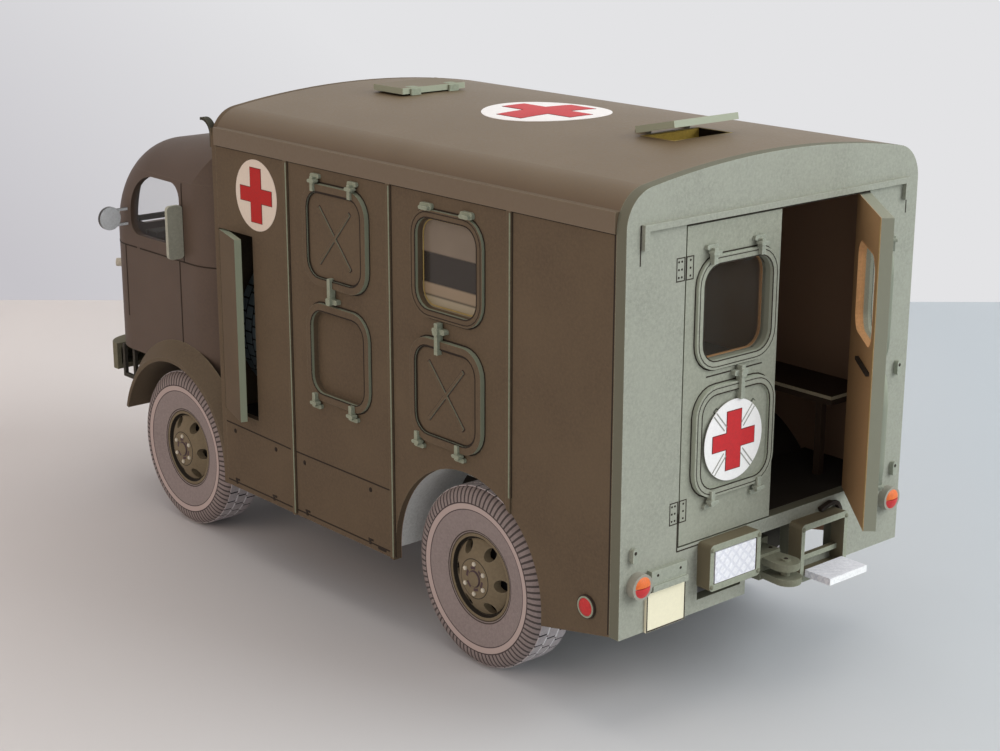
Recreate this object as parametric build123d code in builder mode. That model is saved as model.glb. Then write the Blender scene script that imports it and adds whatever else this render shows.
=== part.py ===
from build123d import *
import os
from math import cos, radians, sqrt

# Military ambulance truck as a printed card model, 1:32, millimetres.
# +X forward, +Y to the vehicle's left, +Z up, origin on the ground below the middle of the model.

os.makedirs("parts", exist_ok=True)

# Wheels and axles
wheelbase = 84.4
rear_axle_x = -32.74
tyre_radius = 14.56
tyre_width = 8.5
wheel_outer_y = 29.5
shoulder_round = 1.6
shoulder_drop = 2.9
rim_radius = 7.2
rim_barrel = 0.9
rim_disc = 0.8
rim_dish = 1.6
rim_holes = 6
rim_hole_radius = 1.0
rim_hole_shift = 0.25
hub_boss = 1.4
hub_boss_radius = 3.0
hub_cap = 0.8
hub_cap_radius = 1.8
spindle_radius = 1.0
running_gap = 0.05
arch_clearance = 2.84
arch_rise = 0.44

# Box body
rear_overhang = 33.6
box_front_setback = 17.0
box_half_width = 31.4
roof_top_z = 82.6
crown_radius = 165.0
roof_corner_radius = 5.6
wall = 1.2
rear_wall = 1.9
skirt_z = 13.0
rear_bottom_z = 16.0
roof_depth = 8.3
eave_band_height = 3.0
eave_band_step = 0.35
rib_width = 0.9
rib_step = 0.35
front_rib_setback = 22.2
middle_rib_setback = 49.5
rear_rib_overhang = 23.4

# Rear doors, hinged at the outer face of the rear wall
door_half_opening = 19.9
sill_lip = 0.2
door_gap = 0.25
door_open_angle = 48.0

# Window-sized fittings, shared by the sides and the doors
fitting_width = 16.8
fitting_height = 16.6
fitting_corner = 4.2
frame_band = 1.3
frame_step = 0.5
cover_thickness = 0.8
pocket_depth = 0.9
cross_width = 0.5
cross_angle = 48.0
film = 0.3
upper_fitting_drop = 10.8
lower_fitting_drop = 30.5
door_fitting_y = 9.2
door_top_share = 0.357
door_bottom_share = 0.471

# Spare wheel and its hatch
hatch_width = 10.4
hatch_headroom = 3.58
hatch_gap = 0.25
hatch_open_angle = 18.3
bay_wall = 0.8
bay_gap = 0.6
spare_setback = 2.0
spare_lift = 0.3

# Roof lids
lid_length = 8.1
lid_width = 13.8
lid_thickness = 1.04
lid_lap = 0.5
lid_lift = 0.25
rear_lid_angle = 12.0
rear_lid_overhang = 23.3
front_lid_setback = 22.0

# Cab
cab_front_overhang = 27.55
cab_half_width = 28.6
cab_gap = 2.5
cab_wall = 1.2
cab_bottom_z = 30.0
cab_top_z = 74.8
cab_roof_fall = 6.1
cab_roof_depth = 9.4
cab_nose_radius = 18.8
cab_corner_radius = 8.8
cab_rear_radius = 10.0
cab_floor_lift = 0.44
cab_floor_thickness = 1.0
cab_window_length = 17.4
cab_window_height = 11.7
cab_window_drop = 10.1
cab_window_setback = 11.0
cab_window_corner = 2.8
cab_window_sweep = 8.0
screen_width = 20.5
screen_height = 11.7
screen_drop = 10.8
screen_post = 2.0
wing_clearance = 2.44
wing_skin = 1.0
wing_flare = 3.6
wing_lip = 0.7
wing_arc = 164.0
wing_inner_y = 20.0

# Chassis
rail_centre_y = 9.5
rail_width = 2.0
rail_over_axle = 4.94
rail_height = 4.5
crossmember_width = 2.0
bearer_height = 1.7
bearer_width = 2.0
axle_tube_radius = 1.6
diff_radius = 4.0
diff_half_width = 3.2
hub_radius = 4.0
hub_thickness = 1.2
spring_y = 13.0
spring_width = 3.0
spring_half = 14.0
spring_rise = 3.0
leaf_thickness = 0.5

# Floors and liners
floor_thickness = 1.2
liner = 1.0
liner_gap = 1.6

# Positions worked out from the driving sizes
front_axle_x = rear_axle_x + wheelbase
axles_x = (front_axle_x, rear_axle_x)
arch_radius = tyre_radius + arch_clearance
arch_centre_z = tyre_radius + arch_rise
wing_radius = tyre_radius + wing_clearance
wing_outer_radius = wing_radius + wing_flare
wheel_inner_y = wheel_outer_y - tyre_width
rail_bottom_z = tyre_radius + rail_over_axle
rail_top_z = rail_bottom_z + rail_height
floor_bottom_z = rail_top_z + bearer_height
floor_z = floor_bottom_z + floor_thickness
sill_z = floor_z + sill_lip
box_rear_x = rear_axle_x - rear_overhang
box_front_x = front_axle_x - box_front_setback
side_rear_x = box_rear_x + rear_wall
side_front_x = box_front_x - wall
inner_half = box_half_width - wall
crown_centre_z = roof_top_z - crown_radius
eave_z = roof_top_z - roof_depth
door_top_z = eave_z
cab_rear_x = box_front_x + cab_gap
cab_front_x = front_axle_x + cab_front_overhang
cab_seam_z = cab_top_z - cab_roof_depth
cab_roof_slope = cab_roof_fall / (cab_front_x - cab_rear_x)
cab_floor_z = tyre_radius + wing_radius + wing_skin + cab_floor_lift
hatch_bottom_z = floor_z + spare_lift
hatch_top_z = hatch_bottom_z + 2 * tyre_radius + hatch_headroom


def save(piece, name):
    piece.label = name
    export_step(piece, f"parts/{name}.step")


def crown_z(y, inset=0.0):
    return crown_centre_z + sqrt((crown_radius - inset) ** 2 - y**2)


def box_section(inset, bottom_z):
    """Cross-section of the box body, drawn inward by inset: X is the vehicle's Y, and Y is its Z."""
    half = box_half_width - inset
    top_z = crown_z(half, inset)
    with BuildSketch() as section:
        with BuildLine():
            Polyline((-half, top_z), (-half, bottom_z), (half, bottom_z), (half, top_z))
            ThreePointArc((half, top_z), (0, roof_top_z - inset), (-half, top_z))
        make_face()
        fillet(section.vertices().group_by(Axis.Y)[-1], radius=roof_corner_radius - inset)
    return section.sketch_local


def side_plane(y):
    """Plane parallel to the side wall at y, facing the vehicle's right."""
    return Plane.XZ.offset(-y)


def rear_plane(x):
    """Plane parallel to the rear wall at x, with its local X along the vehicle's left."""
    return Plane.YZ.offset(x)


def fitting_ring(plane, places, step):
    """Raised rings of a window fitting, standing step proud of the plane along its normal."""
    with BuildPart() as rings:
        with BuildSketch(plane):
            with Locations(*places):
                RectangleRounded(fitting_width, fitting_height, fitting_corner)
                RectangleRounded(
                    fitting_width - 2 * frame_band,
                    fitting_height - 2 * frame_band,
                    fitting_corner - frame_band,
                    mode=Mode.SUBTRACT,
                )
        extrude(amount=step)
    return rings.part


def fitting_cover(plane, places):
    """Removable covers: a plate with a raised rim and a pressed diagonal cross."""
    inner_width = fitting_width - 2 * frame_band
    inner_height = fitting_height - 2 * frame_band
    with BuildPart() as covers:
        with BuildSketch(plane):
            with Locations(*places):
                RectangleRounded(fitting_width, fitting_height, fitting_corner)
        extrude(amount=cover_thickness)
        with BuildSketch(plane.offset(cover_thickness)):
            with Locations(*places):
                RectangleRounded(inner_width, inner_height, fitting_corner - frame_band)
        extrude(amount=-cover_thickness / 2, mode=Mode.SUBTRACT)
        with BuildSketch(plane.offset(cover_thickness / 2)):
            with Locations(*places):
                Rectangle(inner_width * 0.86, cross_width, rotation=cross_angle)
                Rectangle(inner_width * 0.86, cross_width, rotation=-cross_angle)
        extrude(amount=cover_thickness / 4)
    return covers.part


# Side walls. Fittings on each side, from the front: cover over shallow pocket, window over cover.
rib_xs = [box_front_x - front_rib_setback, box_front_x - middle_rib_setback, box_rear_x + rear_rib_overhang]
front_bay_x = (rib_xs[0] + rib_xs[1]) / 2
rear_bay_x = (rib_xs[1] + rib_xs[2]) / 2
upper_fitting_z = eave_z - upper_fitting_drop
lower_fitting_z = eave_z - lower_fitting_drop
window_place = (rear_bay_x, upper_fitting_z)
pocket_place = (front_bay_x, lower_fitting_z)
hatch_front_x = side_front_x
hatch_rear_x = hatch_front_x - hatch_width
hatch_z = (hatch_bottom_z + hatch_top_z) / 2


def side_wall(has_hatch):
    rear_slope_x = rear_axle_x - arch_radius
    with BuildPart() as side:
        with BuildSketch(side_plane(box_half_width)):
            with BuildLine():
                Polyline(
                    (rear_slope_x, skirt_z),
                    (side_rear_x, rear_bottom_z),
                    (side_rear_x, eave_z),
                    (side_front_x, eave_z),
                    (side_front_x, skirt_z),
                    (rear_axle_x + arch_radius, skirt_z),
                    (rear_axle_x + arch_radius, arch_centre_z),
                )
                ThreePointArc(
                    (rear_axle_x + arch_radius, arch_centre_z),
                    (rear_axle_x, arch_centre_z + arch_radius),
                    (rear_slope_x, arch_centre_z),
                )
                Line((rear_slope_x, arch_centre_z), (rear_slope_x, skirt_z))
            make_face()
        extrude(amount=wall)
        with BuildSketch(side_plane(box_half_width)):
            with Locations(*[(x, (skirt_z + eave_z) / 2) for x in rib_xs]):
                Rectangle(rib_width, eave_z - skirt_z)
            with Locations((rear_axle_x, arch_centre_z)):
                Circle(arch_radius, mode=Mode.SUBTRACT)
            with Locations((rear_axle_x, arch_centre_z - arch_radius / 2)):
                Rectangle(2 * arch_radius, arch_radius, mode=Mode.SUBTRACT)
        extrude(amount=-rib_step)
        with BuildSketch(side_plane(box_half_width + rib_step)):
            with Locations(window_place):
                RectangleRounded(
                    fitting_width - 2 * frame_band,
                    fitting_height - 2 * frame_band,
                    fitting_corner - frame_band,
                )
        extrude(amount=wall + rib_step, mode=Mode.SUBTRACT)
        with BuildSketch(side_plane(box_half_width)):
            with Locations(pocket_place):
                RectangleRounded(
                    fitting_width - 2 * frame_band,
                    fitting_height - 2 * frame_band,
                    fitting_corner - frame_band,
                )
        extrude(amount=pocket_depth, mode=Mode.SUBTRACT)
        if has_hatch:
            with BuildSketch(side_plane(box_half_width)):
                with Locations((hatch_front_x - hatch_width / 2, hatch_z)):
                    Rectangle(hatch_width, hatch_top_z - hatch_bottom_z)
            extrude(amount=wall, mode=Mode.SUBTRACT)
    return side.part


with BuildPart() as box_side_left:
    add(side_wall(has_hatch=True))
save(box_side_left.part, "box_side_left")

with BuildPart() as box_side_right:
    mirror(side_wall(has_hatch=False), about=Plane.XZ)
save(box_side_right.part, "box_side_right")

ring_places = [pocket_place, window_place]
cover_places = [(front_bay_x, upper_fitting_z), (rear_bay_x, lower_fitting_z)]
outward_left = Plane((0, box_half_width, 0), x_dir=(-1, 0, 0), z_dir=(0, 1, 0))
left_ring_places = [(-x, z) for x, z in ring_places]
left_cover_places = [(-x, z) for x, z in cover_places]

with BuildPart() as window_frames:
    add(fitting_ring(outward_left, left_ring_places, frame_step))
    mirror(about=Plane.XZ)
save(window_frames.part, "window_frames")

with BuildPart() as window_covers:
    add(fitting_cover(outward_left, left_cover_places))
    mirror(about=Plane.XZ)
save(window_covers.part, "window_covers")

# One clear film pane in each side window, flush with the wall's inner face
with BuildPart() as side_panes:
    with BuildSketch(side_plane(inner_half + film)):
        with Locations(window_place):
            RectangleRounded(
                fitting_width - 2 * frame_band,
                fitting_height - 2 * frame_band,
                fitting_corner - frame_band,
            )
    extrude(amount=film)
    mirror(about=Plane.XZ)
save(side_panes.part, "side_panes")

# Front wall of the box, full section, with a strap hook at each upper corner that curls forward
strap_width = 1.2
strap = 0.5
strap_foot = 2.0
strap_height = 4.8
strap_reach = 3.4
strap_foot_z = eave_z - 0.6
strap_bend_z = strap_foot_z + strap_foot
strap_top_z = strap_foot_z + strap_height
strap_end_x = box_front_x + strap_reach
with BuildPart() as box_front_wall:
    with BuildSketch(rear_plane(side_front_x)):
        add(box_section(0, skirt_z))
        with Locations((0, (skirt_z + floor_bottom_z) / 2)):
            Rectangle(2 * wing_inner_y, floor_bottom_z - skirt_z, mode=Mode.SUBTRACT)
    extrude(amount=wall)
    with BuildSketch(side_plane(box_half_width)):
        with BuildLine():
            foot = Polyline(
                (box_front_x, strap_bend_z),
                (box_front_x, strap_foot_z),
                (box_front_x + strap, strap_foot_z),
                (box_front_x + strap, strap_bend_z),
            )
            inner = TangentArc(foot @ 1, (strap_end_x, strap_top_z - strap), tangent=(0, 1))
            outer = TangentArc(foot @ 0, (strap_end_x, strap_top_z), tangent=(0, 1))
            Line(inner @ 1, outer @ 1)
        make_face()
    extrude(amount=strap_width)
    mirror(about=Plane.XZ)
save(box_front_wall.part, "box_front_wall")

# Rear frame: door opening, two step recesses and the slot for the tow hook
hook_slot_half = 4.9
hook_slot_top_z = 24.9
recess_inner_y = 6.0
recess_outer_y = 15.4
recess_bottom_z = 17.9
recess_height = 5.3
recess_y = (recess_inner_y + recess_outer_y) / 2

with BuildPart() as rear_frame:
    with BuildSketch(rear_plane(box_rear_x)):
        add(box_section(0, rear_bottom_z))
        with Locations((0, (sill_z + door_top_z) / 2)):
            Rectangle(2 * door_half_opening, door_top_z - sill_z, mode=Mode.SUBTRACT)
        with Locations((0, (rear_bottom_z + hook_slot_top_z) / 2)):
            Rectangle(2 * hook_slot_half, hook_slot_top_z - rear_bottom_z, mode=Mode.SUBTRACT)
        with Locations(*[(side * recess_y, recess_bottom_z + recess_height / 2) for side in (1, -1)]):
            Rectangle(recess_outer_y - recess_inner_y, recess_height, mode=Mode.SUBTRACT)
    extrude(amount=rear_wall)
save(rear_frame.part, "rear_frame")

# Drip moulding over the doors, with its ends turned down
moulding_width = 0.9
moulding_drop = 3.0
moulding_step = 0.7
moulding_half = box_half_width - 2.8
moulding_end_y = moulding_half - moulding_width / 2
moulding_z = door_top_z + 0.7
with BuildPart() as drip_moulding:
    with BuildSketch(rear_plane(box_rear_x)):
        with Locations((0, moulding_z)):
            Rectangle(2 * moulding_half, moulding_width)
        with Locations(*[(side * moulding_end_y, moulding_z - moulding_drop / 2) for side in (1, -1)]):
            Rectangle(moulding_width, moulding_drop)
    extrude(amount=-moulding_step)
save(drip_moulding.part, "drip_moulding")

# Roof shell with its eave bands and the two hatches
rear_lid_hinge_x = box_rear_x + rear_lid_overhang
front_lid_hinge_x = box_front_x - front_lid_setback
hatch_hole_length = lid_length - 2 * lid_lap
hatch_hole_width = lid_width - 2 * lid_lap
hatch_hole_xs = [rear_lid_hinge_x - lid_length / 2, front_lid_hinge_x + lid_length / 2]
eave_band_y = box_half_width - eave_band_step
with BuildPart() as box_roof:
    with BuildSketch(rear_plane(side_rear_x)):
        add(box_section(0, skirt_z))
        with Locations(*[(side * eave_band_y, eave_z + eave_band_height / 2) for side in (1, -1)]):
            Rectangle(4 * eave_band_step, eave_band_height)
        add(box_section(wall, skirt_z - wall), mode=Mode.SUBTRACT)
        with Locations((0, eave_z + box_half_width)):
            Rectangle(3 * box_half_width, 2 * box_half_width, mode=Mode.INTERSECT)
    extrude(amount=side_front_x - side_rear_x)
    with BuildSketch(Plane.XY.offset(roof_top_z)):
        with Locations(*[(x, 0) for x in hatch_hole_xs]):
            Rectangle(hatch_hole_length, hatch_hole_width)
    extrude(amount=-4 * wall, mode=Mode.SUBTRACT)
save(box_roof.part, "box_roof")

# Roof lids, hinged at their inner edges and lifted clear of the crown
lid_z = roof_top_z + lid_lift
with BuildPart() as closed_rear_lid:
    with BuildSketch(Plane.XY.offset(lid_z)):
        with Locations((rear_lid_hinge_x - lid_length / 2, 0)):
            Rectangle(lid_length, lid_width)
    extrude(amount=lid_thickness)
rear_lid_axis = Axis((rear_lid_hinge_x, 0, lid_z + lid_thickness), (0, 1, 0))
with BuildPart() as roof_lid_rear:
    add(closed_rear_lid.part.rotate(rear_lid_axis, rear_lid_angle))
save(roof_lid_rear.part, "roof_lid_rear")

with BuildPart() as roof_lid_front:
    with BuildSketch(Plane.XY.offset(lid_z)):
        with Locations((front_lid_hinge_x + lid_length / 2, 0)):
            Rectangle(lid_length, lid_width)
    extrude(amount=lid_thickness)
save(roof_lid_front.part, "roof_lid_front")

# Floor of the load space with the rear wheel boxes, and the arch liners
liner_inner_y = wheel_inner_y - liner_gap
wheel_box_inner_y = liner_inner_y - liner
wheel_box_length = 2 * sqrt((arch_radius + liner) ** 2 - (floor_bottom_z - arch_centre_z) ** 2)
bearer_xs = [box_rear_x + share * (box_front_x - box_rear_x) for share in (0.08, 0.22, 0.52, 0.66, 0.8)]
with BuildPart() as box_floor:
    with BuildSketch(Plane.XY.offset(floor_bottom_z)):
        with Locations(((side_rear_x + side_front_x) / 2, 0)):
            Rectangle(side_front_x - side_rear_x, 2 * inner_half)
        with Locations(*[(rear_axle_x, side * (inner_half + wheel_box_inner_y) / 2) for side in (1, -1)]):
            Rectangle(wheel_box_length, inner_half - wheel_box_inner_y, mode=Mode.SUBTRACT)
    extrude(amount=floor_thickness)
    with BuildSketch(Plane.XY.offset(rail_top_z)):
        with Locations(*[(x, 0) for x in bearer_xs]):
            Rectangle(bearer_width, 2 * wheel_box_inner_y)
    extrude(amount=bearer_height)
save(box_floor.part, "box_floor")

with BuildPart() as arch_liners:
    with BuildSketch(side_plane(inner_half)):
        with Locations((rear_axle_x, arch_centre_z)):
            Circle(arch_radius + liner)
            Circle(arch_radius, mode=Mode.SUBTRACT)
        with Locations((rear_axle_x, arch_centre_z - arch_radius)):
            Rectangle(3 * arch_radius, 2 * arch_radius, mode=Mode.SUBTRACT)
    extrude(amount=inner_half - liner_inner_y)
    with BuildSketch(side_plane(liner_inner_y)):
        with Locations((rear_axle_x, arch_centre_z)):
            Circle(arch_radius + liner)
        with Locations((rear_axle_x, floor_bottom_z - arch_radius)):
            Rectangle(3 * arch_radius, 2 * arch_radius, mode=Mode.SUBTRACT)
    extrude(amount=liner)
    mirror(about=Plane.XZ)
save(arch_liners.part, "arch_liners")

# Spare wheel bay behind the hatch, closed to the load space
spare_axis_y = box_half_width - spare_setback - tyre_radius
spare_axis_z = hatch_bottom_z + tyre_radius + 0.2
bay_rear_x = hatch_rear_x - 0.2
bay_inner_y = spare_axis_y - tyre_radius - bay_gap
bay_top_z = hatch_top_z + 0.4
bay_size = (side_front_x - bay_rear_x, inner_half - bay_inner_y)
with BuildPart() as spare_bay:
    with BuildSketch(Plane.XY.offset(floor_z)):
        with Locations((side_front_x, inner_half)):
            Rectangle(bay_size[0] + bay_wall, bay_size[1] + bay_wall, align=(Align.MAX, Align.MAX))
            Rectangle(*bay_size, align=(Align.MAX, Align.MAX), mode=Mode.SUBTRACT)
    extrude(amount=bay_top_z - floor_z)
    with BuildSketch(Plane.XY.offset(bay_top_z)):
        with Locations((side_front_x, inner_half)):
            Rectangle(bay_size[0] + bay_wall, bay_size[1] + bay_wall, align=(Align.MAX, Align.MAX))
    extrude(amount=bay_wall)
save(spare_bay.part, "spare_bay")

# Hatch flap, hinged at the front edge of its opening
flap_axis = Axis((hatch_front_x, box_half_width, 0), (0, 0, 1))
with BuildPart() as closed_flap:
    with BuildSketch(side_plane(box_half_width)):
        with Locations((hatch_front_x - hatch_width / 2, hatch_z)):
            Rectangle(hatch_width - 2 * hatch_gap, hatch_top_z - hatch_bottom_z - 2 * hatch_gap)
    extrude(amount=wall)
with BuildPart() as spare_hatch_flap:
    add(closed_flap.part.rotate(flap_axis, -hatch_open_angle))
save(spare_hatch_flap.part, "spare_hatch_flap")

# Benches along the load space
bench_depth = 9.5
bench_z = 39.0
bench_thickness = 1.5
bench_leg = 1.2
bench_rear_x = side_rear_x + 4.0
bench_front_x = bay_rear_x - bay_wall - 1.0
bench_lengths = {1: bench_front_x - bench_rear_x, -1: side_front_x - 6.0 - bench_rear_x}
bench_leg_y = inner_half - bench_depth + bench_leg / 2 + 0.2
with BuildPart() as benches:
    for side, length in bench_lengths.items():
        with BuildSketch(Plane.XY.offset(bench_z)):
            with Locations((bench_rear_x + length / 2, side * (inner_half - bench_depth / 2))):
                Rectangle(length, bench_depth)
        extrude(amount=bench_thickness)
        with BuildSketch(Plane.XY.offset(floor_z)):
            for share in (0.03, 0.97):
                with Locations((bench_rear_x + share * length, side * bench_leg_y)):
                    Rectangle(bench_leg, bench_leg)
        extrude(amount=bench_z - floor_z)
save(benches.part, "benches")


# Rear doors
leaf_width = door_half_opening - 1.5 * door_gap
leaf_height = door_top_z - sill_z - 2 * door_gap
leaf_z = (door_top_z + sill_z) / 2
leaf_y = door_half_opening - door_gap - leaf_width / 2
door_spare_height = door_top_z - sill_z - 2 * fitting_height
door_window_z = door_top_z - door_top_share * door_spare_height - fitting_height / 2
door_cover_z = sill_z + door_bottom_share * door_spare_height + fitting_height / 2
door_pane_width = fitting_width - 2 * frame_band
door_pane_height = fitting_height - 2 * frame_band
door_pane_corner = fitting_corner - frame_band
outward_rear = Plane((box_rear_x, 0, 0), x_dir=(0, -1, 0), z_dir=(-1, 0, 0))

with BuildPart() as closed_leaf:
    with BuildSketch(rear_plane(box_rear_x)):
        with Locations((leaf_y, leaf_z)):
            Rectangle(leaf_width, leaf_height)
        with Locations((door_fitting_y, door_window_z)):
            RectangleRounded(door_pane_width, door_pane_height, door_pane_corner, mode=Mode.SUBTRACT)
    extrude(amount=rear_wall)
with BuildPart() as closed_door_frame:
    add(fitting_ring(outward_rear, [(-door_fitting_y, door_window_z)], frame_step))
with BuildPart() as closed_door_cover:
    add(fitting_cover(outward_rear, [(-door_fitting_y, door_cover_z)]))
with BuildPart() as closed_door_pane:
    with BuildSketch(rear_plane(box_rear_x + rear_wall / 2)):
        with Locations((door_fitting_y, door_window_z)):
            RectangleRounded(door_pane_width, door_pane_height, door_pane_corner)
    extrude(amount=film)

closed_door = {
    "": closed_leaf.part,
    "_window_frame": closed_door_frame.part,
    "_cover": closed_door_cover.part,
    "_pane": closed_door_pane.part,
}
right_hinge = Axis((box_rear_x, -door_half_opening, 0), (0, 0, 1))
for suffix, piece in closed_door.items():
    with BuildPart() as left_door_piece:
        add(piece)
    save(left_door_piece.part, "rear_door_left" + suffix)
    with BuildPart() as right_door_piece:
        add(mirror(piece, about=Plane.XZ, mode=Mode.PRIVATE).rotate(right_hinge, door_open_angle))
    save(right_door_piece.part, "rear_door_right" + suffix)


# Steps: a frame with two posts on the rear beam, and a hinged tread
step_inner_y = 4.7
step_outer_y = 15.6
step_post = 1.1
step_depth = 2.0
step_bar = 1.1
step_table = (
    # side, bottom z, top z, tread down
    (1, 20.6, 27.05, False),
    (-1, 15.9, 25.2, True),
)
tread_gap = 0.25
tread_reach = 5.6
tread_margin = 1.1
tread_thickness = 1.1
step_width = step_outer_y - step_inner_y
step_y = (step_inner_y + step_outer_y) / 2
tread_width = step_width - 2 * tread_margin
step_x = box_rear_x - step_depth - tread_gap
with BuildPart() as step_frames:
    for side, bottom_z, top_z, tread_down in step_table:
        with BuildSketch(rear_plane(box_rear_x)):
            with Locations((side * step_y, (bottom_z + top_z) / 2)):
                Rectangle(step_width, top_z - bottom_z)
                Rectangle(step_width - 2 * step_post, top_z - bottom_z - 2 * step_bar, mode=Mode.SUBTRACT)
        extrude(amount=-step_depth)
save(step_frames.part, "step_frames")

for side, bottom_z, top_z, tread_down in step_table:
    with BuildPart() as tread:
        if tread_down:
            with BuildSketch(Plane.XY.offset(bottom_z)):
                with Locations((step_x - tread_reach / 2, side * step_y)):
                    Rectangle(tread_reach, tread_width)
            extrude(amount=tread_thickness)
        else:
            with BuildSketch(rear_plane(step_x)):
                with Locations((side * step_y, bottom_z + tread_reach / 2)):
                    Rectangle(tread_width, tread_reach)
            extrude(amount=-tread_thickness)
    save(tread.part, "step_tread_left" if side > 0 else "step_tread_right")

# Tail lamps, side reflectors and the blank number plate
lamp_radius = 1.95
lamp_depth = 1.4
lamp_y = box_half_width - 3.3
lamp_z = rear_bottom_z + 7.7
with BuildPart() as tail_lamps:
    with BuildSketch(rear_plane(box_rear_x)):
        with Locations((lamp_y, lamp_z), (-lamp_y, lamp_z)):
            Circle(lamp_radius)
    extrude(amount=-lamp_depth)
save(tail_lamps.part, "tail_lamps")

reflector_radius = 1.8
reflector_depth = 0.4
reflector_place = (box_rear_x + 6.4, rear_bottom_z + 3.3)
with BuildPart() as side_reflectors:
    with BuildSketch(side_plane(box_half_width)):
        with Locations(reflector_place):
            Circle(reflector_radius)
    extrude(amount=-reflector_depth)
    mirror(about=Plane.XZ)
save(side_reflectors.part, "side_reflectors")

plate_width = 8.0
plate_height = 6.2
plate_depth = 0.4
plate_lamp_width = 7.0
plate_lamp_height = 2.1
plate_lamp_depth = 0.8
plate_y = box_half_width - 9.1
plate_z = rear_bottom_z + 3.0
plate_lamp_z = rear_bottom_z + 8.2
with BuildPart() as number_plate:
    with BuildSketch(rear_plane(box_rear_x)):
        with Locations((plate_y, plate_z)):
            Rectangle(plate_width, plate_height)
    extrude(amount=-plate_depth)
    with BuildSketch(rear_plane(box_rear_x)):
        with Locations((plate_y, plate_lamp_z)):
            Rectangle(plate_lamp_width, plate_lamp_height)
    extrude(amount=-plate_lamp_depth)
save(number_plate.part, "number_plate")

# Tow hook: a shank from the rear crossmember with an upright eye
hook_z = rail_bottom_z + 2.0
hook_eye_radius = 2.6
hook_bore_radius = 1.3
hook_reach = 4.5
hook_width = 2.4
hook_shank = 2.2
hook_plate = 1.2
hook_plate_width = 6.4
hook_eye_x = box_rear_x - hook_reach
crossmember_rear_x = box_rear_x + 4.0
with BuildPart() as tow_hook:
    with BuildSketch(Plane.XY.offset(hook_z - hook_width / 2)):
        with Locations((hook_eye_x, 0)):
            Circle(hook_eye_radius)
        with Locations(((hook_eye_x + crossmember_rear_x) / 2, 0)):
            Rectangle(crossmember_rear_x - hook_eye_x, hook_shank)
        with Locations((crossmember_rear_x - hook_plate / 2, 0)):
            Rectangle(hook_plate, hook_plate_width)
        with Locations((hook_eye_x, 0)):
            Circle(hook_bore_radius, mode=Mode.SUBTRACT)
    extrude(amount=hook_width)
save(tow_hook.part, "tow_hook")

# Ladder frame
frame_front_x = cab_front_x - 2.8
frame_x = (crossmember_rear_x + frame_front_x) / 2
transfer_x = rear_axle_x + 0.435 * wheelbase
crossmember_xs = [
    crossmember_rear_x + crossmember_width / 2,
    rear_axle_x + spring_half,
    transfer_x,
    box_front_x - 2.0,
    frame_front_x - 1.5,
]
with BuildPart() as chassis_frame:
    with BuildSketch(Plane.XY.offset(rail_bottom_z)):
        with Locations((frame_x, rail_centre_y), (frame_x, -rail_centre_y)):
            Rectangle(frame_front_x - crossmember_rear_x, rail_width)
    extrude(amount=rail_height)
    with BuildSketch(Plane.XY.offset(rail_bottom_z)):
        with Locations(*[(x, 0) for x in crossmember_xs]):
            Rectangle(crossmember_width, 2 * rail_centre_y)
    extrude(amount=rail_height * 0.8)
save(chassis_frame.part, "chassis_frame")

# Axles: tube, tapered differential housing with its nose, spring seats, hub flanges and spindles
hub_y = wheel_inner_y + 0.2
nose_reach = 5.4
nose_radius = 1.8
spring_seat_length = 3.4
spring_seat_z = tyre_radius + axle_tube_radius + 0.5
spindle_end_y = wheel_outer_y - 3.0
for axle_name, axle_x, nose in (("front_axle", front_axle_x, -1), ("rear_axle", rear_axle_x, 1)):
    with BuildPart() as axle:
        with BuildSketch(side_plane(hub_y)):
            with Locations((axle_x, tyre_radius)):
                Circle(axle_tube_radius)
        extrude(amount=2 * hub_y)
        with BuildSketch(Plane.XY.offset(tyre_radius)):
            with BuildLine():
                Polyline(
                    (axle_x, 2 * diff_half_width),
                    (axle_x + axle_tube_radius, 2 * diff_half_width),
                    (axle_x + diff_radius, diff_half_width / 2),
                    (axle_x + diff_radius, -diff_half_width / 2),
                    (axle_x + axle_tube_radius, -2 * diff_half_width),
                    (axle_x, -2 * diff_half_width),
                    close=True,
                )
            make_face()
        revolve(axis=Axis((axle_x, 0, tyre_radius), (0, 1, 0)))
        with BuildSketch(rear_plane(axle_x)):
            with Locations((0, tyre_radius)):
                Circle(nose_radius)
        extrude(amount=nose * nose_reach)
        with BuildSketch(Plane.XY.offset(tyre_radius)):
            with Locations((axle_x, spring_y), (axle_x, -spring_y)):
                Rectangle(spring_seat_length, spring_width)
        extrude(amount=spring_seat_z - tyre_radius)
        for flange_y in (hub_y, hub_thickness - hub_y):
            with BuildSketch(side_plane(flange_y)):
                with Locations((axle_x, tyre_radius)):
                    Circle(hub_radius)
            extrude(amount=hub_thickness)
        with BuildSketch(side_plane(spindle_end_y)):
            with Locations((axle_x, tyre_radius)):
                Circle(spindle_radius)
        extrude(amount=2 * spindle_end_y)
    save(axle.part, axle_name)

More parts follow.
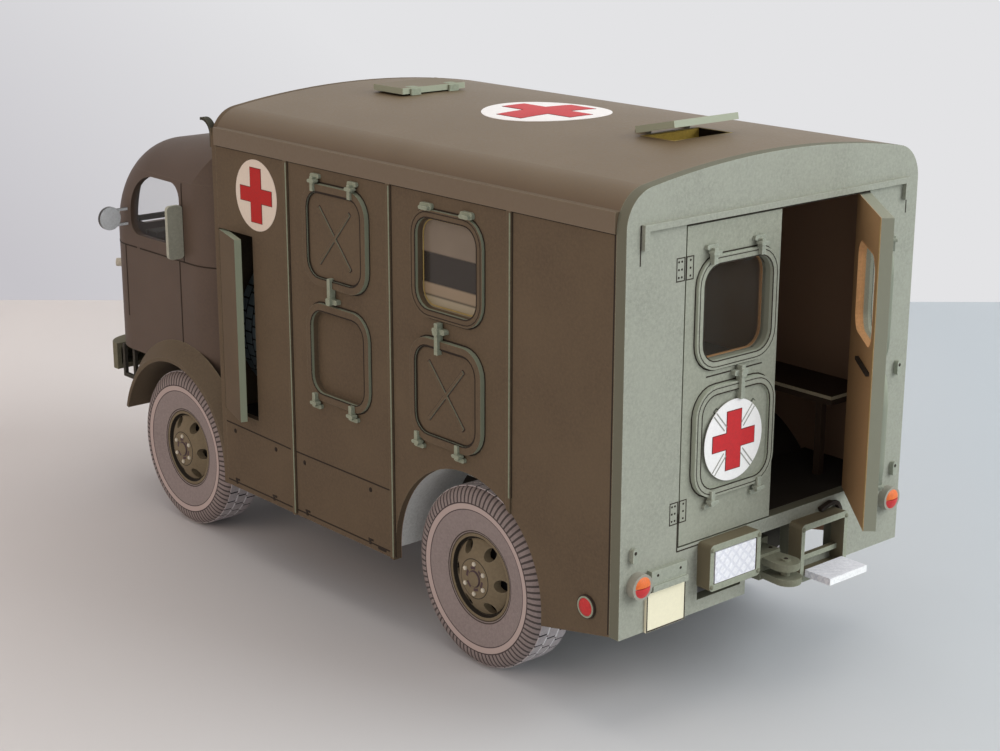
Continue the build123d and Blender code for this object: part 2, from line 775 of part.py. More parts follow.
# Leaf springs: arched pack of leaves under hanger pins beside the rails
leaf_halves = (spring_half, 0.75 * spring_half, 0.5 * spring_half)
spring_pin_radius = 0.9
spring_pin_z = spring_seat_z + 2 * leaf_thickness + spring_rise + 0.4
spring_outer_y = spring_y + spring_width / 2
rail_outer_y = rail_centre_y + rail_width / 2
with BuildPart() as leaf_springs:
    for axle_x in axles_x:
        for side in (1, -1):
            with BuildSketch(side_plane(side * spring_y + spring_width / 2)):
                for count, half in enumerate(leaf_halves):
                    under_z = spring_seat_z + (2 - count) * leaf_thickness
                    over_z = under_z + leaf_thickness
                    rise = spring_rise * (half / spring_half) ** 2
                    rear_x = axle_x - half
                    front_x = axle_x + half
                    with BuildLine():
                        ends_z = under_z + rise
                        low = ThreePointArc((rear_x, ends_z), (axle_x, under_z), (front_x, ends_z))
                        ends_z += leaf_thickness
                        high = ThreePointArc((rear_x, ends_z), (axle_x, over_z), (front_x, ends_z))
                        Line(low @ 0, high @ 0)
                        Line(low @ 1, high @ 1)
                    make_face()
            extrude(amount=spring_width)
            with BuildSketch(side_plane(spring_outer_y if side > 0 else -rail_outer_y)):
                with Locations(*[(axle_x + end * spring_half, spring_pin_z) for end in (1, -1)]):
                    Circle(spring_pin_radius)
            extrude(amount=spring_outer_y - rail_outer_y)
save(leaf_springs.part, "leaf_springs")

# Engine and gearbox between the rails, and the propeller shafts
engine_length = 22.0
engine_half_width = 6.3
engine_offset = 6.0
gearbox_length = 12.0
gearbox_width = 9.0
gearbox_height = 7.0
engine_mount_length = 3.0
engine_bottom_z = rail_bottom_z + 1.0
engine_x = front_axle_x + engine_offset
with BuildPart() as engine:
    with BuildSketch(Plane.XY.offset(engine_bottom_z)):
        with Locations((engine_x, 0)):
            Rectangle(engine_length, 2 * engine_half_width)
    extrude(amount=cab_floor_z - 0.6 - engine_bottom_z)
    with BuildSketch(Plane.XY.offset(engine_bottom_z)):
        with Locations((engine_x - engine_length / 2, 0)):
            Rectangle(gearbox_length, gearbox_width, align=(Align.MAX, Align.CENTER))
        with Locations((engine_x, 0)):
            Rectangle(engine_mount_length, 2 * rail_centre_y - rail_width)
    extrude(amount=gearbox_height / 2)
    with BuildSketch(Plane.XY.offset(engine_bottom_z)):
        with Locations((engine_x - engine_length / 2, 0)):
            Rectangle(gearbox_length, gearbox_width, align=(Align.MAX, Align.CENTER))
    extrude(amount=gearbox_height)
save(engine.part, "engine")

shaft_radius = 0.9
transfer_length = 7.0
transfer_width = 8.0
transfer_bottom_z = tyre_radius - 2.5
with BuildPart() as drive_shafts:
    with BuildSketch(Plane.XY.offset(transfer_bottom_z)):
        with Locations((transfer_x, 0)):
            Rectangle(transfer_length, transfer_width)
    extrude(amount=rail_bottom_z - transfer_bottom_z)
    with BuildSketch(rear_plane(rear_axle_x + nose_reach)):
        with Locations((0, tyre_radius)):
            Circle(shaft_radius)
    extrude(amount=wheelbase - 2 * nose_reach)
save(drive_shafts.part, "drive_shafts")


# Wheels: card tyre rings on dished rims that turn on the spindles
def tyre_on(place):
    """Tyre with rounded shoulders, revolved about its axle line, local X."""
    half = tyre_width / 2
    shoulder_radius = tyre_radius - shoulder_drop
    with BuildPart() as tyre:
        with BuildSketch(Plane.XZ):
            with BuildLine():
                Polyline((-half + shoulder_round, tyre_radius), (half - shoulder_round, tyre_radius))
                ThreePointArc(
                    (half - shoulder_round, tyre_radius),
                    (half - shoulder_round * 0.35, tyre_radius - shoulder_drop * 0.28),
                    (half, shoulder_radius),
                )
                Line((half, shoulder_radius), (half, rim_radius))
                Line((half, rim_radius), (-half, rim_radius))
                Line((-half, rim_radius), (-half, shoulder_radius))
                ThreePointArc(
                    (-half, shoulder_radius),
                    (-half + shoulder_round * 0.35, tyre_radius - shoulder_drop * 0.28),
                    (-half + shoulder_round, tyre_radius),
                )
            make_face()
        revolve(axis=Axis.X)
    return place * tyre.part


def rim_on(place):
    """Rim: barrel, dished disc with round holes, and a hub boss with the spindle's bore."""
    half = tyre_width / 2
    disc_x = half - rim_dish
    disc_back_x = disc_x - rim_disc
    barrel_radius = rim_radius - rim_barrel
    boss_end_x = hub_thickness / 2 - half
    bore_radius = spindle_radius + running_gap
    bore_end_x = disc_x + hub_boss - hub_cap
    rim_hole_circle = (barrel_radius + hub_boss_radius) / 2 + rim_hole_shift
    with BuildPart() as rim:
        with BuildSketch(Plane.XZ):
            with BuildLine():
                Polyline(
                    (-half, rim_radius),
                    (-half, barrel_radius),
                    (disc_back_x, barrel_radius),
                    (disc_back_x, hub_boss_radius),
                    (boss_end_x, hub_boss_radius),
                    (boss_end_x, bore_radius),
                    (bore_end_x, bore_radius),
                    (bore_end_x, 0),
                    (disc_x + hub_boss, 0),
                    (disc_x + hub_boss, hub_cap_radius),
                    (disc_x + hub_boss / 2, hub_boss_radius),
                    (disc_x, hub_boss_radius + hub_cap / 2),
                    (disc_x, barrel_radius),
                    (half, barrel_radius),
                    (half, rim_radius),
                    close=True,
                )
            make_face()
        revolve(axis=Axis.X)
        with BuildSketch(Plane.YZ.offset(disc_x)):
            with PolarLocations(rim_hole_circle, rim_holes, start_angle=30):
                Circle(rim_hole_radius)
        extrude(amount=-rim_disc, mode=Mode.SUBTRACT)
    return place * rim.part


def wheel_plane(x, side):
    """Local X points out of the vehicle on the given side, at the middle of the tyre."""
    centre = (x, side * (wheel_outer_y - tyre_width / 2), tyre_radius)
    return Plane(centre, x_dir=(0, side, 0), z_dir=(0, 0, 1)).location


for end_name, axle_x in (("front", front_axle_x), ("rear", rear_axle_x)):
    for side_name, side in (("left", 1), ("right", -1)):
        place = wheel_plane(axle_x, side)
        save(tyre_on(place), f"tyre_{end_name}_{side_name}")
        save(rim_on(place), f"rim_{end_name}_{side_name}")

spare_place = Plane(
    (hatch_front_x - hatch_width / 2, spare_axis_y, spare_axis_z), x_dir=(1, 0, 0), z_dir=(0, 0, 1)
).location
save(tyre_on(spare_place), "spare_tyre")
save(rim_on(spare_place), "spare_rim")


# Cab
def cab_line_z(x, inset):
    """Height of the falling roof line at x, moved inward by inset."""
    return cab_top_z - (x - cab_rear_x) * cab_roof_slope - inset * sqrt(1 + cab_roof_slope**2)


def cab_form(inset):
    """Rounded cab body, drawn inward by inset."""
    rear_x = cab_rear_x + inset
    front_x = cab_front_x - inset
    half = cab_half_width - inset
    nose = cab_nose_radius - inset
    bottom_z = cab_bottom_z - (cab_wall if inset else 0)
    with BuildPart() as form:
        with BuildSketch(side_plane(half)):
            with BuildLine():
                Polyline(
                    (rear_x, bottom_z),
                    (front_x, bottom_z),
                    (front_x, cab_line_z(front_x, inset)),
                    (rear_x, cab_line_z(rear_x, inset)),
                    close=True,
                )
            make_face()
            fillet(vertices().sort_by(Axis.X)[-2:].sort_by(Axis.Y)[-1], radius=nose)
        extrude(amount=2 * half)
        edges_of_sides = (
            form.faces().filter_by(Axis.Y).edges().filter_by(lambda e: e.center().Z > bottom_z + 0.1)
            .filter_by(lambda e: e.center().X > rear_x + 0.1)
        )
        fillet(edges_of_sides, radius=cab_corner_radius - inset)
        with BuildSketch(Plane.XY.offset(bottom_z)):
            with Locations(((rear_x + front_x) / 2, 0)):
                Rectangle(front_x - rear_x, 2 * half)
            fillet(vertices().group_by(Axis.X)[0], radius=cab_rear_radius - inset)
        extrude(amount=cab_top_z - bottom_z, mode=Mode.INTERSECT)
    return form.part


cab_window_front_x = cab_front_x - cab_window_setback
cab_window_x = cab_window_front_x - cab_window_length / 2
cab_window_z = cab_top_z - cab_window_drop - cab_window_height / 2
screen_y = (screen_post + screen_width) / 2
screen_z = cab_top_z - screen_drop - screen_height / 2
screen_corner = 2.2


def cab_windows():
    """Prisms through the two screen halves and through both side windows."""
    with BuildPart() as windows:
        with BuildSketch(side_plane(cab_half_width)):
            with Locations((cab_window_x, cab_window_z)):
                Rectangle(cab_window_length, cab_window_height)
            top_corner = vertices().sort_by(Axis.X)[-2:].sort_by(Axis.Y)[-1]
            fillet(vertices() - [top_corner], radius=cab_window_corner)
            fillet(vertices().sort_by(Axis.Y)[-2:].sort_by(Axis.X)[-1], radius=cab_window_sweep)
        extrude(amount=2 * cab_half_width)
        with BuildSketch(rear_plane(cab_front_x - cab_nose_radius)):
            with Locations((screen_y, screen_z), (-screen_y, screen_z)):
                RectangleRounded(screen_width, screen_height, screen_corner)
        extrude(amount=cab_nose_radius)
    return windows.part


grille_slots = 6
grille_pitch = 2.0
grille_slot_height = 1.0
grille_width = 24.0
grille_depth = 0.5
grille_z = cab_bottom_z + 9.0
with BuildPart() as cab_shell:
    add(cab_form(0))
    add(cab_form(cab_wall), mode=Mode.SUBTRACT)
    add(cab_windows(), mode=Mode.SUBTRACT)
    with BuildSketch(side_plane(cab_half_width)):
        with Locations((front_axle_x, tyre_radius)):
            Circle(wing_radius + wing_skin)
    extrude(amount=2 * cab_half_width, mode=Mode.SUBTRACT)
    with BuildSketch(rear_plane(cab_front_x)):
        with Locations((0, grille_z)):
            with GridLocations(0, grille_pitch, 1, grille_slots):
                SlotOverall(grille_width, grille_slot_height)
    extrude(amount=-grille_depth, mode=Mode.SUBTRACT)

with BuildPart() as cab_body:
    add(cab_shell.part)
    split(bisect_by=Plane.XY.offset(cab_seam_z), keep=Keep.BOTTOM)
save(cab_body.part, "cab_body")

with BuildPart() as cab_roof:
    add(cab_shell.part)
    split(bisect_by=Plane.XY.offset(cab_seam_z), keep=Keep.TOP)
save(cab_roof.part, "cab_roof")

with BuildPart() as cab_glass:
    add(cab_form(cab_wall / 2))
    add(cab_form(cab_wall / 2 + film), mode=Mode.SUBTRACT)
    add(cab_windows(), mode=Mode.INTERSECT)
save(cab_glass.part, "cab_glass")

# Front wings: curved skin over the wheel with a flared lip, ending on the box front
with BuildPart() as front_wings:
    with BuildSketch(Plane.XY.offset(tyre_radius)):
        with BuildLine():
            Polyline(
                (front_axle_x - wing_radius, wing_inner_y),
                (front_axle_x - wing_radius, box_half_width),
                (front_axle_x - wing_radius - wing_lip, box_half_width),
                (front_axle_x - wing_outer_radius, cab_half_width),
                (front_axle_x - wing_radius - wing_skin, cab_half_width),
                (front_axle_x - wing_radius - wing_skin, wing_inner_y),
                close=True,
            )
        make_face()
    revolve(axis=Axis((front_axle_x, 0, tyre_radius), (0, 1, 0)), revolution_arc=wing_arc)
    split(bisect_by=rear_plane(box_front_x), keep=Keep.TOP)
    mirror(about=Plane.XZ)
save(front_wings.part, "front_wings")

# Cab floor with the engine cover, seats, and dashboard with steering wheel
cover_half_width = 7.3
cover_length = 24.0
cover_offset = 4.0
cover_height = 9.0
with BuildPart() as cab_floor:
    add(cab_form(cab_wall))
    with BuildSketch(Plane.XY.offset(cab_floor_z)):
        with Locations(((cab_rear_x + cab_front_x) / 2, 0)):
            Rectangle(2 * (cab_front_x - cab_rear_x), 4 * cab_half_width)
    extrude(amount=cab_floor_thickness, mode=Mode.INTERSECT)
    with BuildSketch(Plane.XY.offset(cab_floor_z)):
        with Locations((front_axle_x + cover_offset, 0)):
            Rectangle(cover_length, 2 * cover_half_width)
    extrude(amount=cover_height)
save(cab_floor.part, "cab_floor")

seat_setback = 4.7
seat_depth = 11.8
seat_height = 11.5
seat_back_height = 14.5
seat_rear_x = cab_rear_x + seat_setback
seat_z = cab_floor_z + seat_height
seat_back_z = seat_z + seat_back_height
seat_inner_y = cover_half_width + 1.0
seat_outer_y = cab_half_width - cab_wall - 2.0
with BuildPart() as seats:
    with BuildSketch(side_plane(seat_outer_y)):
        with BuildLine():
            Polyline(
                (seat_rear_x + 1.5, cab_floor_z + cab_floor_thickness),
                (seat_rear_x + seat_depth - 1.0, cab_floor_z + cab_floor_thickness),
                (seat_rear_x + seat_depth, seat_z - 3.0),
                (seat_rear_x + seat_depth, seat_z),
                (seat_rear_x + 4.5, seat_z - 0.6),
                (seat_rear_x + 2.6, seat_back_z),
                (seat_rear_x, seat_back_z),
                close=True,
            )
        make_face()
    extrude(amount=seat_outer_y - seat_inner_y)
    mirror(about=Plane.XZ)
save(seats.part, "seats")

dash_rise = 14.0
dash_height = 4.0
dash_depth = 4.0
dash_front_x = cab_front_x - cab_wall
steering_rise = 4.5
steering_tilt = 20.0
steering_radius = 4.4
steering_rim = 0.7
steering_y = 14.5
column_radius = 0.45
dash_z = cab_floor_z + dash_rise
steering_wheel_z = dash_z + steering_rise
column_drop = steering_wheel_z - cab_floor_z - cab_floor_thickness - 0.3
column_length = column_drop / cos(radians(steering_tilt))
steering_x = dash_front_x - dash_depth - steering_radius - 0.6
wheel_place = Location((steering_x, steering_y, steering_wheel_z), (0, -steering_tilt, 0))
with BuildPart() as dashboard:
    with BuildSketch(Plane.XY.offset(dash_z)):
        with Locations((dash_front_x - dash_depth / 2, 0)):
            Rectangle(dash_depth, 2 * (cab_half_width - cab_corner_radius))
    extrude(amount=dash_height)
    with BuildSketch(Plane(wheel_place)):
        Circle(steering_radius + steering_rim / 2)
        Circle(steering_radius - steering_rim / 2, mode=Mode.SUBTRACT)
        Rectangle(steering_rim, 2 * steering_radius)
    extrude(amount=steering_rim / 2, both=True)
    with BuildSketch(Plane(wheel_place)):
        Circle(column_radius)
    extrude(amount=-column_length)
save(dashboard.part, "dashboard")

# Front bumper: channel with swept ends, open at the back, bolted to the rail tips
bumper_reach = 1.95
bumper_depth = 5.0
bumper_top_z = cab_bottom_z - 0.2
bumper_height = 5.2
bumper_skin = 0.9
bumper_sweep = 3.4
bumper_sweep_width = 6.6
bumper_front_x = cab_front_x + bumper_reach
bumper_back_x = bumper_front_x - bumper_depth
bracket_front_x = bumper_front_x - bumper_skin
bracket_x = (frame_front_x + bracket_front_x) / 2


def bumper_outline(inset):
    """Plan of the bumper, drawn inward by inset and left open at the back."""
    half = cab_half_width - inset
    straight = cab_half_width - bumper_sweep_width
    front_x = bumper_front_x - inset
    bend_x = front_x - 0.3 * bumper_sweep
    swept_x = front_x - bumper_sweep
    back_x = bumper_back_x - inset
    with BuildSketch() as outline:
        with BuildLine():
            Line((front_x, -straight), (front_x, straight))
            ThreePointArc((front_x, straight), (bend_x, half - 2.0), (swept_x, half))
            Polyline((swept_x, half), (back_x, half), (back_x, -half), (swept_x, -half))
            ThreePointArc((swept_x, -half), (bend_x, 2.0 - half), (front_x, -straight))
        make_face()
    return outline.sketch_local


with BuildPart() as front_bumper:
    with BuildSketch(Plane.XY.offset(bumper_top_z)):
        add(bumper_outline(0))
    extrude(amount=-bumper_height)
    with BuildSketch(Plane.XY.offset(bumper_top_z - bumper_skin)):
        add(bumper_outline(bumper_skin))
    extrude(amount=-(bumper_height - 2 * bumper_skin), mode=Mode.SUBTRACT)
    with BuildSketch(Plane.XY.offset(rail_bottom_z)):
        with Locations((bracket_x, rail_centre_y), (bracket_x, -rail_centre_y)):
            Rectangle(bracket_front_x - frame_front_x, rail_width)
    extrude(amount=bumper_top_z - bumper_height + bumper_skin - rail_bottom_z)
save(front_bumper.part, "front_bumper")

# Headlamps and the small corner lamps
headlamp_radius = 3.0
headlamp_depth = 1.8
headlamp_inset = 10.1
headlamp_rise = 8.0
headlamp_y = cab_half_width - headlamp_inset
headlamp_z = cab_bottom_z + headlamp_rise
corner_lamp_radius = 0.8
corner_lamp_length = 1.2
corner_lamp_rise = 15.6
corner_lamp_z = cab_bottom_z + corner_lamp_rise
corner_cut = cab_corner_radius * (1 - sqrt(0.5))
corner_lamp_x = cab_front_x - corner_cut
corner_lamp_y = cab_half_width - corner_cut
with BuildPart() as front_lamps:
    with BuildSketch(rear_plane(cab_front_x)):
        with Locations((headlamp_y, headlamp_z), (-headlamp_y, headlamp_z)):
            Circle(headlamp_radius)
    extrude(amount=headlamp_depth)
    for side in (1, -1):
        with BuildSketch(Plane((corner_lamp_x, side * corner_lamp_y, corner_lamp_z), z_dir=(1, side, 0))):
            Circle(corner_lamp_radius)
        extrude(amount=corner_lamp_length)
save(front_lamps.part, "front_lamps")

# Entry stirrups under the cab, between the wings and the front corners
stirrup_drop = 6.5
stirrup_bar = 0.7
stirrup_gap = 0.2
wing_end_z = cab_bottom_z - stirrup_drop - tyre_radius
stirrup_rear_x = front_axle_x + sqrt(wing_outer_radius**2 - wing_end_z**2) + stirrup_gap
stirrup_setback = 4.3
stirrup_front_x = cab_front_x - stirrup_setback
with BuildPart() as stirrups:
    with BuildSketch(side_plane(cab_half_width - 0.5)):
        with Locations(((stirrup_rear_x + stirrup_front_x) / 2, cab_bottom_z)):
            Rectangle(stirrup_front_x - stirrup_rear_x, stirrup_drop, align=(Align.CENTER, Align.MAX))
            Rectangle(
                stirrup_front_x - stirrup_rear_x - 2 * stirrup_bar,
                stirrup_drop - stirrup_bar,
                align=(Align.CENTER, Align.MAX),
                mode=Mode.SUBTRACT,
            )
    extrude(amount=stirrup_bar)
    mirror(about=Plane.XZ)
save(stirrups.part, "stirrups")

# Round mirrors, each on two arms from the screen pillar
mirror_radius = 2.2
mirror_thickness = 0.7
mirror_reach = 3.8
mirror_arm = 0.5
mirror_x = cab_front_x - 10.1
mirror_y = cab_half_width + mirror_reach
mirror_z = cab_window_z - 2.75
arm_zs = (mirror_z + 1.4, mirror_z - 1.4)
with BuildPart() as mirrors:
    with BuildSketch(rear_plane(mirror_x)):
        with Locations((mirror_y, mirror_z)):
            Circle(mirror_radius)
    extrude(amount=mirror_thickness)
    with BuildSketch(rear_plane(mirror_x + 0.1)):
        with Locations(*[(cab_half_width + mirror_reach / 2, z) for z in arm_zs]):
            Rectangle(mirror_reach, mirror_arm)
    extrude(amount=mirror_arm)
    mirror(about=Plane.XZ)
save(mirrors.part, "mirrors")

# Turn signal boxes behind the side windows
signal_width = 3.2
signal_height = 9.8
signal_corner = 0.8
signal_thickness = 0.8
signal_x = cab_window_front_x - cab_window_length - 1.1
signal_z = cab_window_z - 2.65
with BuildPart() as signal_boxes:
    with BuildSketch(rear_plane(signal_x)):
        with Locations((cab_half_width + signal_width / 2, signal_z)):
            RectangleRounded(signal_width, signal_height, signal_corner)
    extrude(amount=signal_thickness)
    mirror(about=Plane.XZ)
save(signal_boxes.part, "signal_boxes")
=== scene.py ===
from math import cos, pi, radians, sin, sqrt

import bmesh
import bpy
from mathutils import Matrix, Vector
from mathutils.bvhtree import BVHTree


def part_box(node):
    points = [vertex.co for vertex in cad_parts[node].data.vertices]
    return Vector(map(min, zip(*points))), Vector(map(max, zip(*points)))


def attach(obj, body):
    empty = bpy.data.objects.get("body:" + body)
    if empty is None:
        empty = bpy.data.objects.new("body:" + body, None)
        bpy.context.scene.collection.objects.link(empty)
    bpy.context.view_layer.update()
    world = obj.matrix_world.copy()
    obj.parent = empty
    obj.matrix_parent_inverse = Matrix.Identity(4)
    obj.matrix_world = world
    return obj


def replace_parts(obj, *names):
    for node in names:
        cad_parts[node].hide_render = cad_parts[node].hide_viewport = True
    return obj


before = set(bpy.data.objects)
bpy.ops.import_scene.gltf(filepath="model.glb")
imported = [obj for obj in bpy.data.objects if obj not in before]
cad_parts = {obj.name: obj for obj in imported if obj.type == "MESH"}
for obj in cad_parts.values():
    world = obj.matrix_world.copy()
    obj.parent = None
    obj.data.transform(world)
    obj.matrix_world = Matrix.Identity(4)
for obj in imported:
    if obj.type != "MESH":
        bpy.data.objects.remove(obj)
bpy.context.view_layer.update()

# Chassis, axles and springs: box rails folded from dark printed card, rolled card axles and
# stacked card spring leaves, glued under the body. Matt ink over paper fibre, dark grey-brown,
# with the ink rubbed thin along the folds.
MM = 0.001
FORWARD, LEFT, UP = (1, 0, 0), (0, 1, 0), (0, 0, 1)
BACK, RIGHT, ACROSS_AXLE = (-1, 0, 0), (0, -1, 0), (1, 0, 1)
# Pitch of the paper's fibre and of the print's uneven patches, depth of the fibre, width of the
# worn edge, and half the blur of a crisp printed edge in mm
FIBRE, PATCH, TOOTH, WORN_EDGE, CRISP = 0.45 * MM, 11 * MM, 0.03 * MM, 0.22 * MM, 0.001


def tone(code, share=1.0):
    """Linear colour of an sRGB hex value, its brightness changed by a share."""
    parts = [int(code[i : i + 2], 16) / 255 for i in (1, 3, 5)]
    linear = [c / 12.92 if c <= 0.04045 else ((c + 0.055) / 1.055) ** 2.4 for c in parts]
    return [min(1.0, c * share) for c in linear] + [1.0]


def add(tree, kind, *given, **settings):
    """Adds a node, a shader node where kind has no Node in it, with its settings. given fills its
    inputs in order, and a dict at its end fills the rest by socket. Each is a plain value, another
    node's output, or a node, which stands for its first live output."""
    node = tree.nodes.new(kind if "Node" in kind else f"ShaderNode{kind}")
    for name, value in settings.items():
        setattr(node, name, value)
    inputs = dict(enumerate(given))
    if given and isinstance(given[-1], dict):
        inputs.update(inputs.pop(len(given) - 1))
    for socket, value in inputs.items():
        if isinstance(value, bpy.types.Node):
            value = next(output for output in value.outputs if output.enabled)
        if isinstance(value, bpy.types.NodeSocket):
            tree.links.new(value, node.inputs[socket])
        else:
            node.inputs[socket].default_value = value
    return node


def blank(name):
    """A material with an empty node tree."""
    made = bpy.data.materials.new(name)
    made.use_nodes = True
    made.node_tree.nodes.clear()
    return made, made.node_tree


def printed_card(
    name, ink, faded, cut_edge, rub=0.55, rough=0.8, gloss=0.3, fleck=0.2, marks=None, cut=None, raw=None
):
    """Matt ink on card. Paper fibre breaks the ink up, wide patches of uneven print change its
    tone, and the ink is worn to the card along cut edges.
    fleck is how far the fibre darkens and lightens the ink. marks gives the printed marks over it.
    cut is (aim, paint): faces that don't look along aim are cut edges, touched in with paint; on some pieces
    that paint also stands for painted light or painted shade.
    raw is (point, normal, colour) of a bare face: the card beyond that plane."""
    card, tree = blank(name)
    coordinates = add(tree, "TexCoord").outputs
    place = coordinates["Object"]
    fibre = add(tree, "TexNoise", {"Vector": place, "Scale": 1 / FIBRE, "Detail": 5.0, "Roughness": 0.7})
    patch = add(tree, "TexNoise", {"Vector": place, "Scale": 1 / PATCH, "Detail": 3.0})
    grain = add(tree, "MapRange", fibre, 0.3, 0.7, 0.0, 1.0)
    drift = add(tree, "MapRange", patch, 0.3, 0.7, 0.0, 0.45)
    layers = [(grain, tone(ink, 1 + fleck * 0.85)), (drift, tone(faded))]
    if marks:
        layers += marks(tree, place)
    if cut:
        aim, paint = cut
        facing = add(tree, "VectorMath", coordinates["Normal"], aim, operation="DOT_PRODUCT")
        size = add(tree, "Math", facing, operation="ABSOLUTE")
        layers.append((add(tree, "Math", size, 0.7, operation="LESS_THAN"), tone(paint)))
    if raw:
        point, normal, bare = raw
        away = add(tree, "VectorMath", place, [c * MM for c in point], operation="SUBTRACT")
        depth = add(tree, "VectorMath", away, normal, operation="DOT_PRODUCT")
        behind = add(tree, "MapRange", depth, 0.0, 0.06 * MM, 0.0, 1.0)
        pulp = add(tree, "Math", behind, grain, operation="MULTIPLY")
        layers += [(behind, tone(bare, 0.86)), (pulp, tone(bare))]
    soft = add(tree, "Bevel", {"Radius": WORN_EDGE}, samples=4)
    true = add(tree, "NewGeometry").outputs["Normal"]
    lean = add(tree, "VectorMath", soft, true, operation="DOT_PRODUCT")
    edge = add(tree, "MapRange", lean, 0.995, 0.86, 0.0, rub)
    layers.append((add(tree, "Math", edge, grain, operation="MULTIPLY"), tone(cut_edge)))
    colour = tone(ink, 1 - fleck)
    for mask, over in layers:
        colour = add(tree, "Mix", mask, {6: colour, 7: over}, data_type="RGBA")
    dull = add(tree, "MapRange", fibre, 0.3, 0.7, rough - 0.07, rough + 0.08)
    tooth = add(tree, "Bump", {"Strength": 0.35, "Distance": TOOTH, "Height": fibre})
    looks = {"Base Color": colour, "Roughness": dull, "Normal": tooth, "Specular IOR Level": gloss}
    add(tree, "OutputMaterial", add(tree, "BsdfPrincipled", looks))
    return card


def printed(axes, bands=(), rings=(), teeth=(), centre=(0, 0, 0)):
    """Marks by the distance from centre along axes, so they lie along a plane or round an axle.
    bands holds (full at, gone at, strength, colour), rings (radius, half width, colour) and
    teeth (count, from radius, to radius, share, colour) of radial strokes, all in mm."""

    def lay(tree, place):
        moved = add(tree, "VectorMath", place, [c * MM for c in centre], operation="SUBTRACT")
        flat = add(tree, "VectorMath", moved, axes, operation="MULTIPLY")
        reach = add(tree, "VectorMath", flat, operation="LENGTH")
        split = add(tree, "SeparateXYZ", flat).outputs
        angle = add(tree, "Math", split["Z"], split["X"], operation="ARCTAN2")
        masks = []
        for full, gone, strength, ink in bands:
            masks.append((add(tree, "MapRange", reach, full * MM, gone * MM, strength, 0.0), ink))
        for at, half, ink in rings:
            masks.append((add(tree, "Math", reach, at * MM, half * MM, operation="COMPARE"), ink))
        for count, low, high, share, ink in teeth:
            turns = add(tree, "Math", angle, count / (2 * pi), operation="MULTIPLY")
            phase = add(tree, "Math", turns, operation="FRACT")
            stroke = add(tree, "Math", phase, share, operation="LESS_THAN")
            middle, half = (low + high) / 2 * MM, (high - low) / 2 * MM
            within = add(tree, "Math", reach, middle, half, operation="COMPARE")
            masks.append((add(tree, "Math", stroke, within, operation="MULTIPLY"), ink))
        return [(mask, tone(ink)) for mask, ink in masks]

    return lay


def dress(material, *nodes):
    for node in nodes:
        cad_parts[node].data.materials[0] = material


AXLE_Z, AXLE_X, LINER_R, LINER_Z = 14.56, {"front": 51.66, "rear": -32.74}, 18.2, 15
RAIL_Y, NUTS_Z, ARCH_CLEAR = 11.52, (20.4, 23.1), 17
chassis_ink = printed_card("matt card printed dark grey", "#3a3832", "#4a463e", "#8a8474", rub=0.4)
dress(
    chassis_ink, "chassis_frame", "front_axle", "rear_axle", "leaf_springs", "engine", "drive_shafts",
    "stirrups",
)
# The arch liner is plain grey board toward the wheel and printed dark toward the load
dark_outside = [(LINER_R + CRISP, LINER_R - CRISP, 1.0, "#2e2822")]
toward_load = printed(ACROSS_AXLE, dark_outside, centre=(AXLE_X["rear"], 0, LINER_Z))
liner_board = printed_card(
    "plain grey board for the arch liners", "#cdd0ce", "#d6d9d7", "#dcddd8", rub=0.3, marks=toward_load
)
dress(liner_board, "arch_liners")


def mesh_of(shape, name="item"):
    mesh = bpy.data.meshes.new(name)
    shape.to_mesh(mesh)
    shape.free()
    return mesh


def placed(name, data):
    made = bpy.data.objects.new(name, data)
    bpy.context.scene.collection.objects.link(made)
    return made


def seat(mesh, name, slot, body="truck"):
    made = placed(name, mesh)
    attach(made, body)
    return made


def settle(shape, name, material, slot, body="truck"):
    """A finished mesh becomes a piece that rides on its body."""
    bmesh.ops.recalc_face_normals(shape, faces=shape.faces)
    mesh = mesh_of(shape, name)
    mesh.materials.append(material)
    return seat(mesh, name, slot, body)


def baked(holder):
    """The plain mesh that an object's modifiers make; the object itself is taken away."""
    result = bpy.data.meshes.new_from_object(holder.evaluated_get(bpy.context.evaluated_depsgraph_get()))
    bpy.data.objects.remove(holder)
    return result


def grown(mesh, tree, sizes, material):
    """Runs a Geometry Nodes tree on a mesh, inputs by name, and returns the plain mesh it makes."""
    holder = placed("holder", mesh)
    maker = holder.modifiers.new("maker", "NODES")
    maker.node_group = tree
    for item in tree.interface.items_tree:
        if item.in_out == "INPUT" and item.name in sizes:
            maker[item.identifier] = sizes[item.name]
        if item.in_out == "INPUT" and item.name == "Material":
            maker[item.identifier] = material
    return baked(holder)


def node_group(name, sockets, made):
    """A Geometry Nodes tree with its inputs, given as name and kind, and the name of its output."""
    tree = bpy.data.node_groups.new(name, "GeometryNodeTree")
    for socket, kind in sockets.items():
        tree.interface.new_socket(socket, in_out="INPUT", socket_type=f"NodeSocket{kind}")
    tree.interface.new_socket(made, in_out="OUTPUT", socket_type="NodeSocketGeometry")
    return tree, add(tree, "NodeGroupInput").outputs


def repeat(tree, points, item, rotation, material, smooth=False):
    """Ends a tree: the item on each of the points, turned by rotation, as plain mesh in one ink."""
    spread = add(
        tree, "GeometryNodeInstanceOnPoints", {"Points": points, "Instance": item, "Rotation": rotation}
    )
    shown = add(tree, "GeometryNodeRealizeInstances", spread)
    if smooth:
        shown = add(tree, "GeometryNodeSetShadeSmooth", shown)
    inked = add(tree, "GeometryNodeSetMaterial", {"Geometry": shown, "Material": material})
    add(tree, "NodeGroupOutput", inked)
    return tree


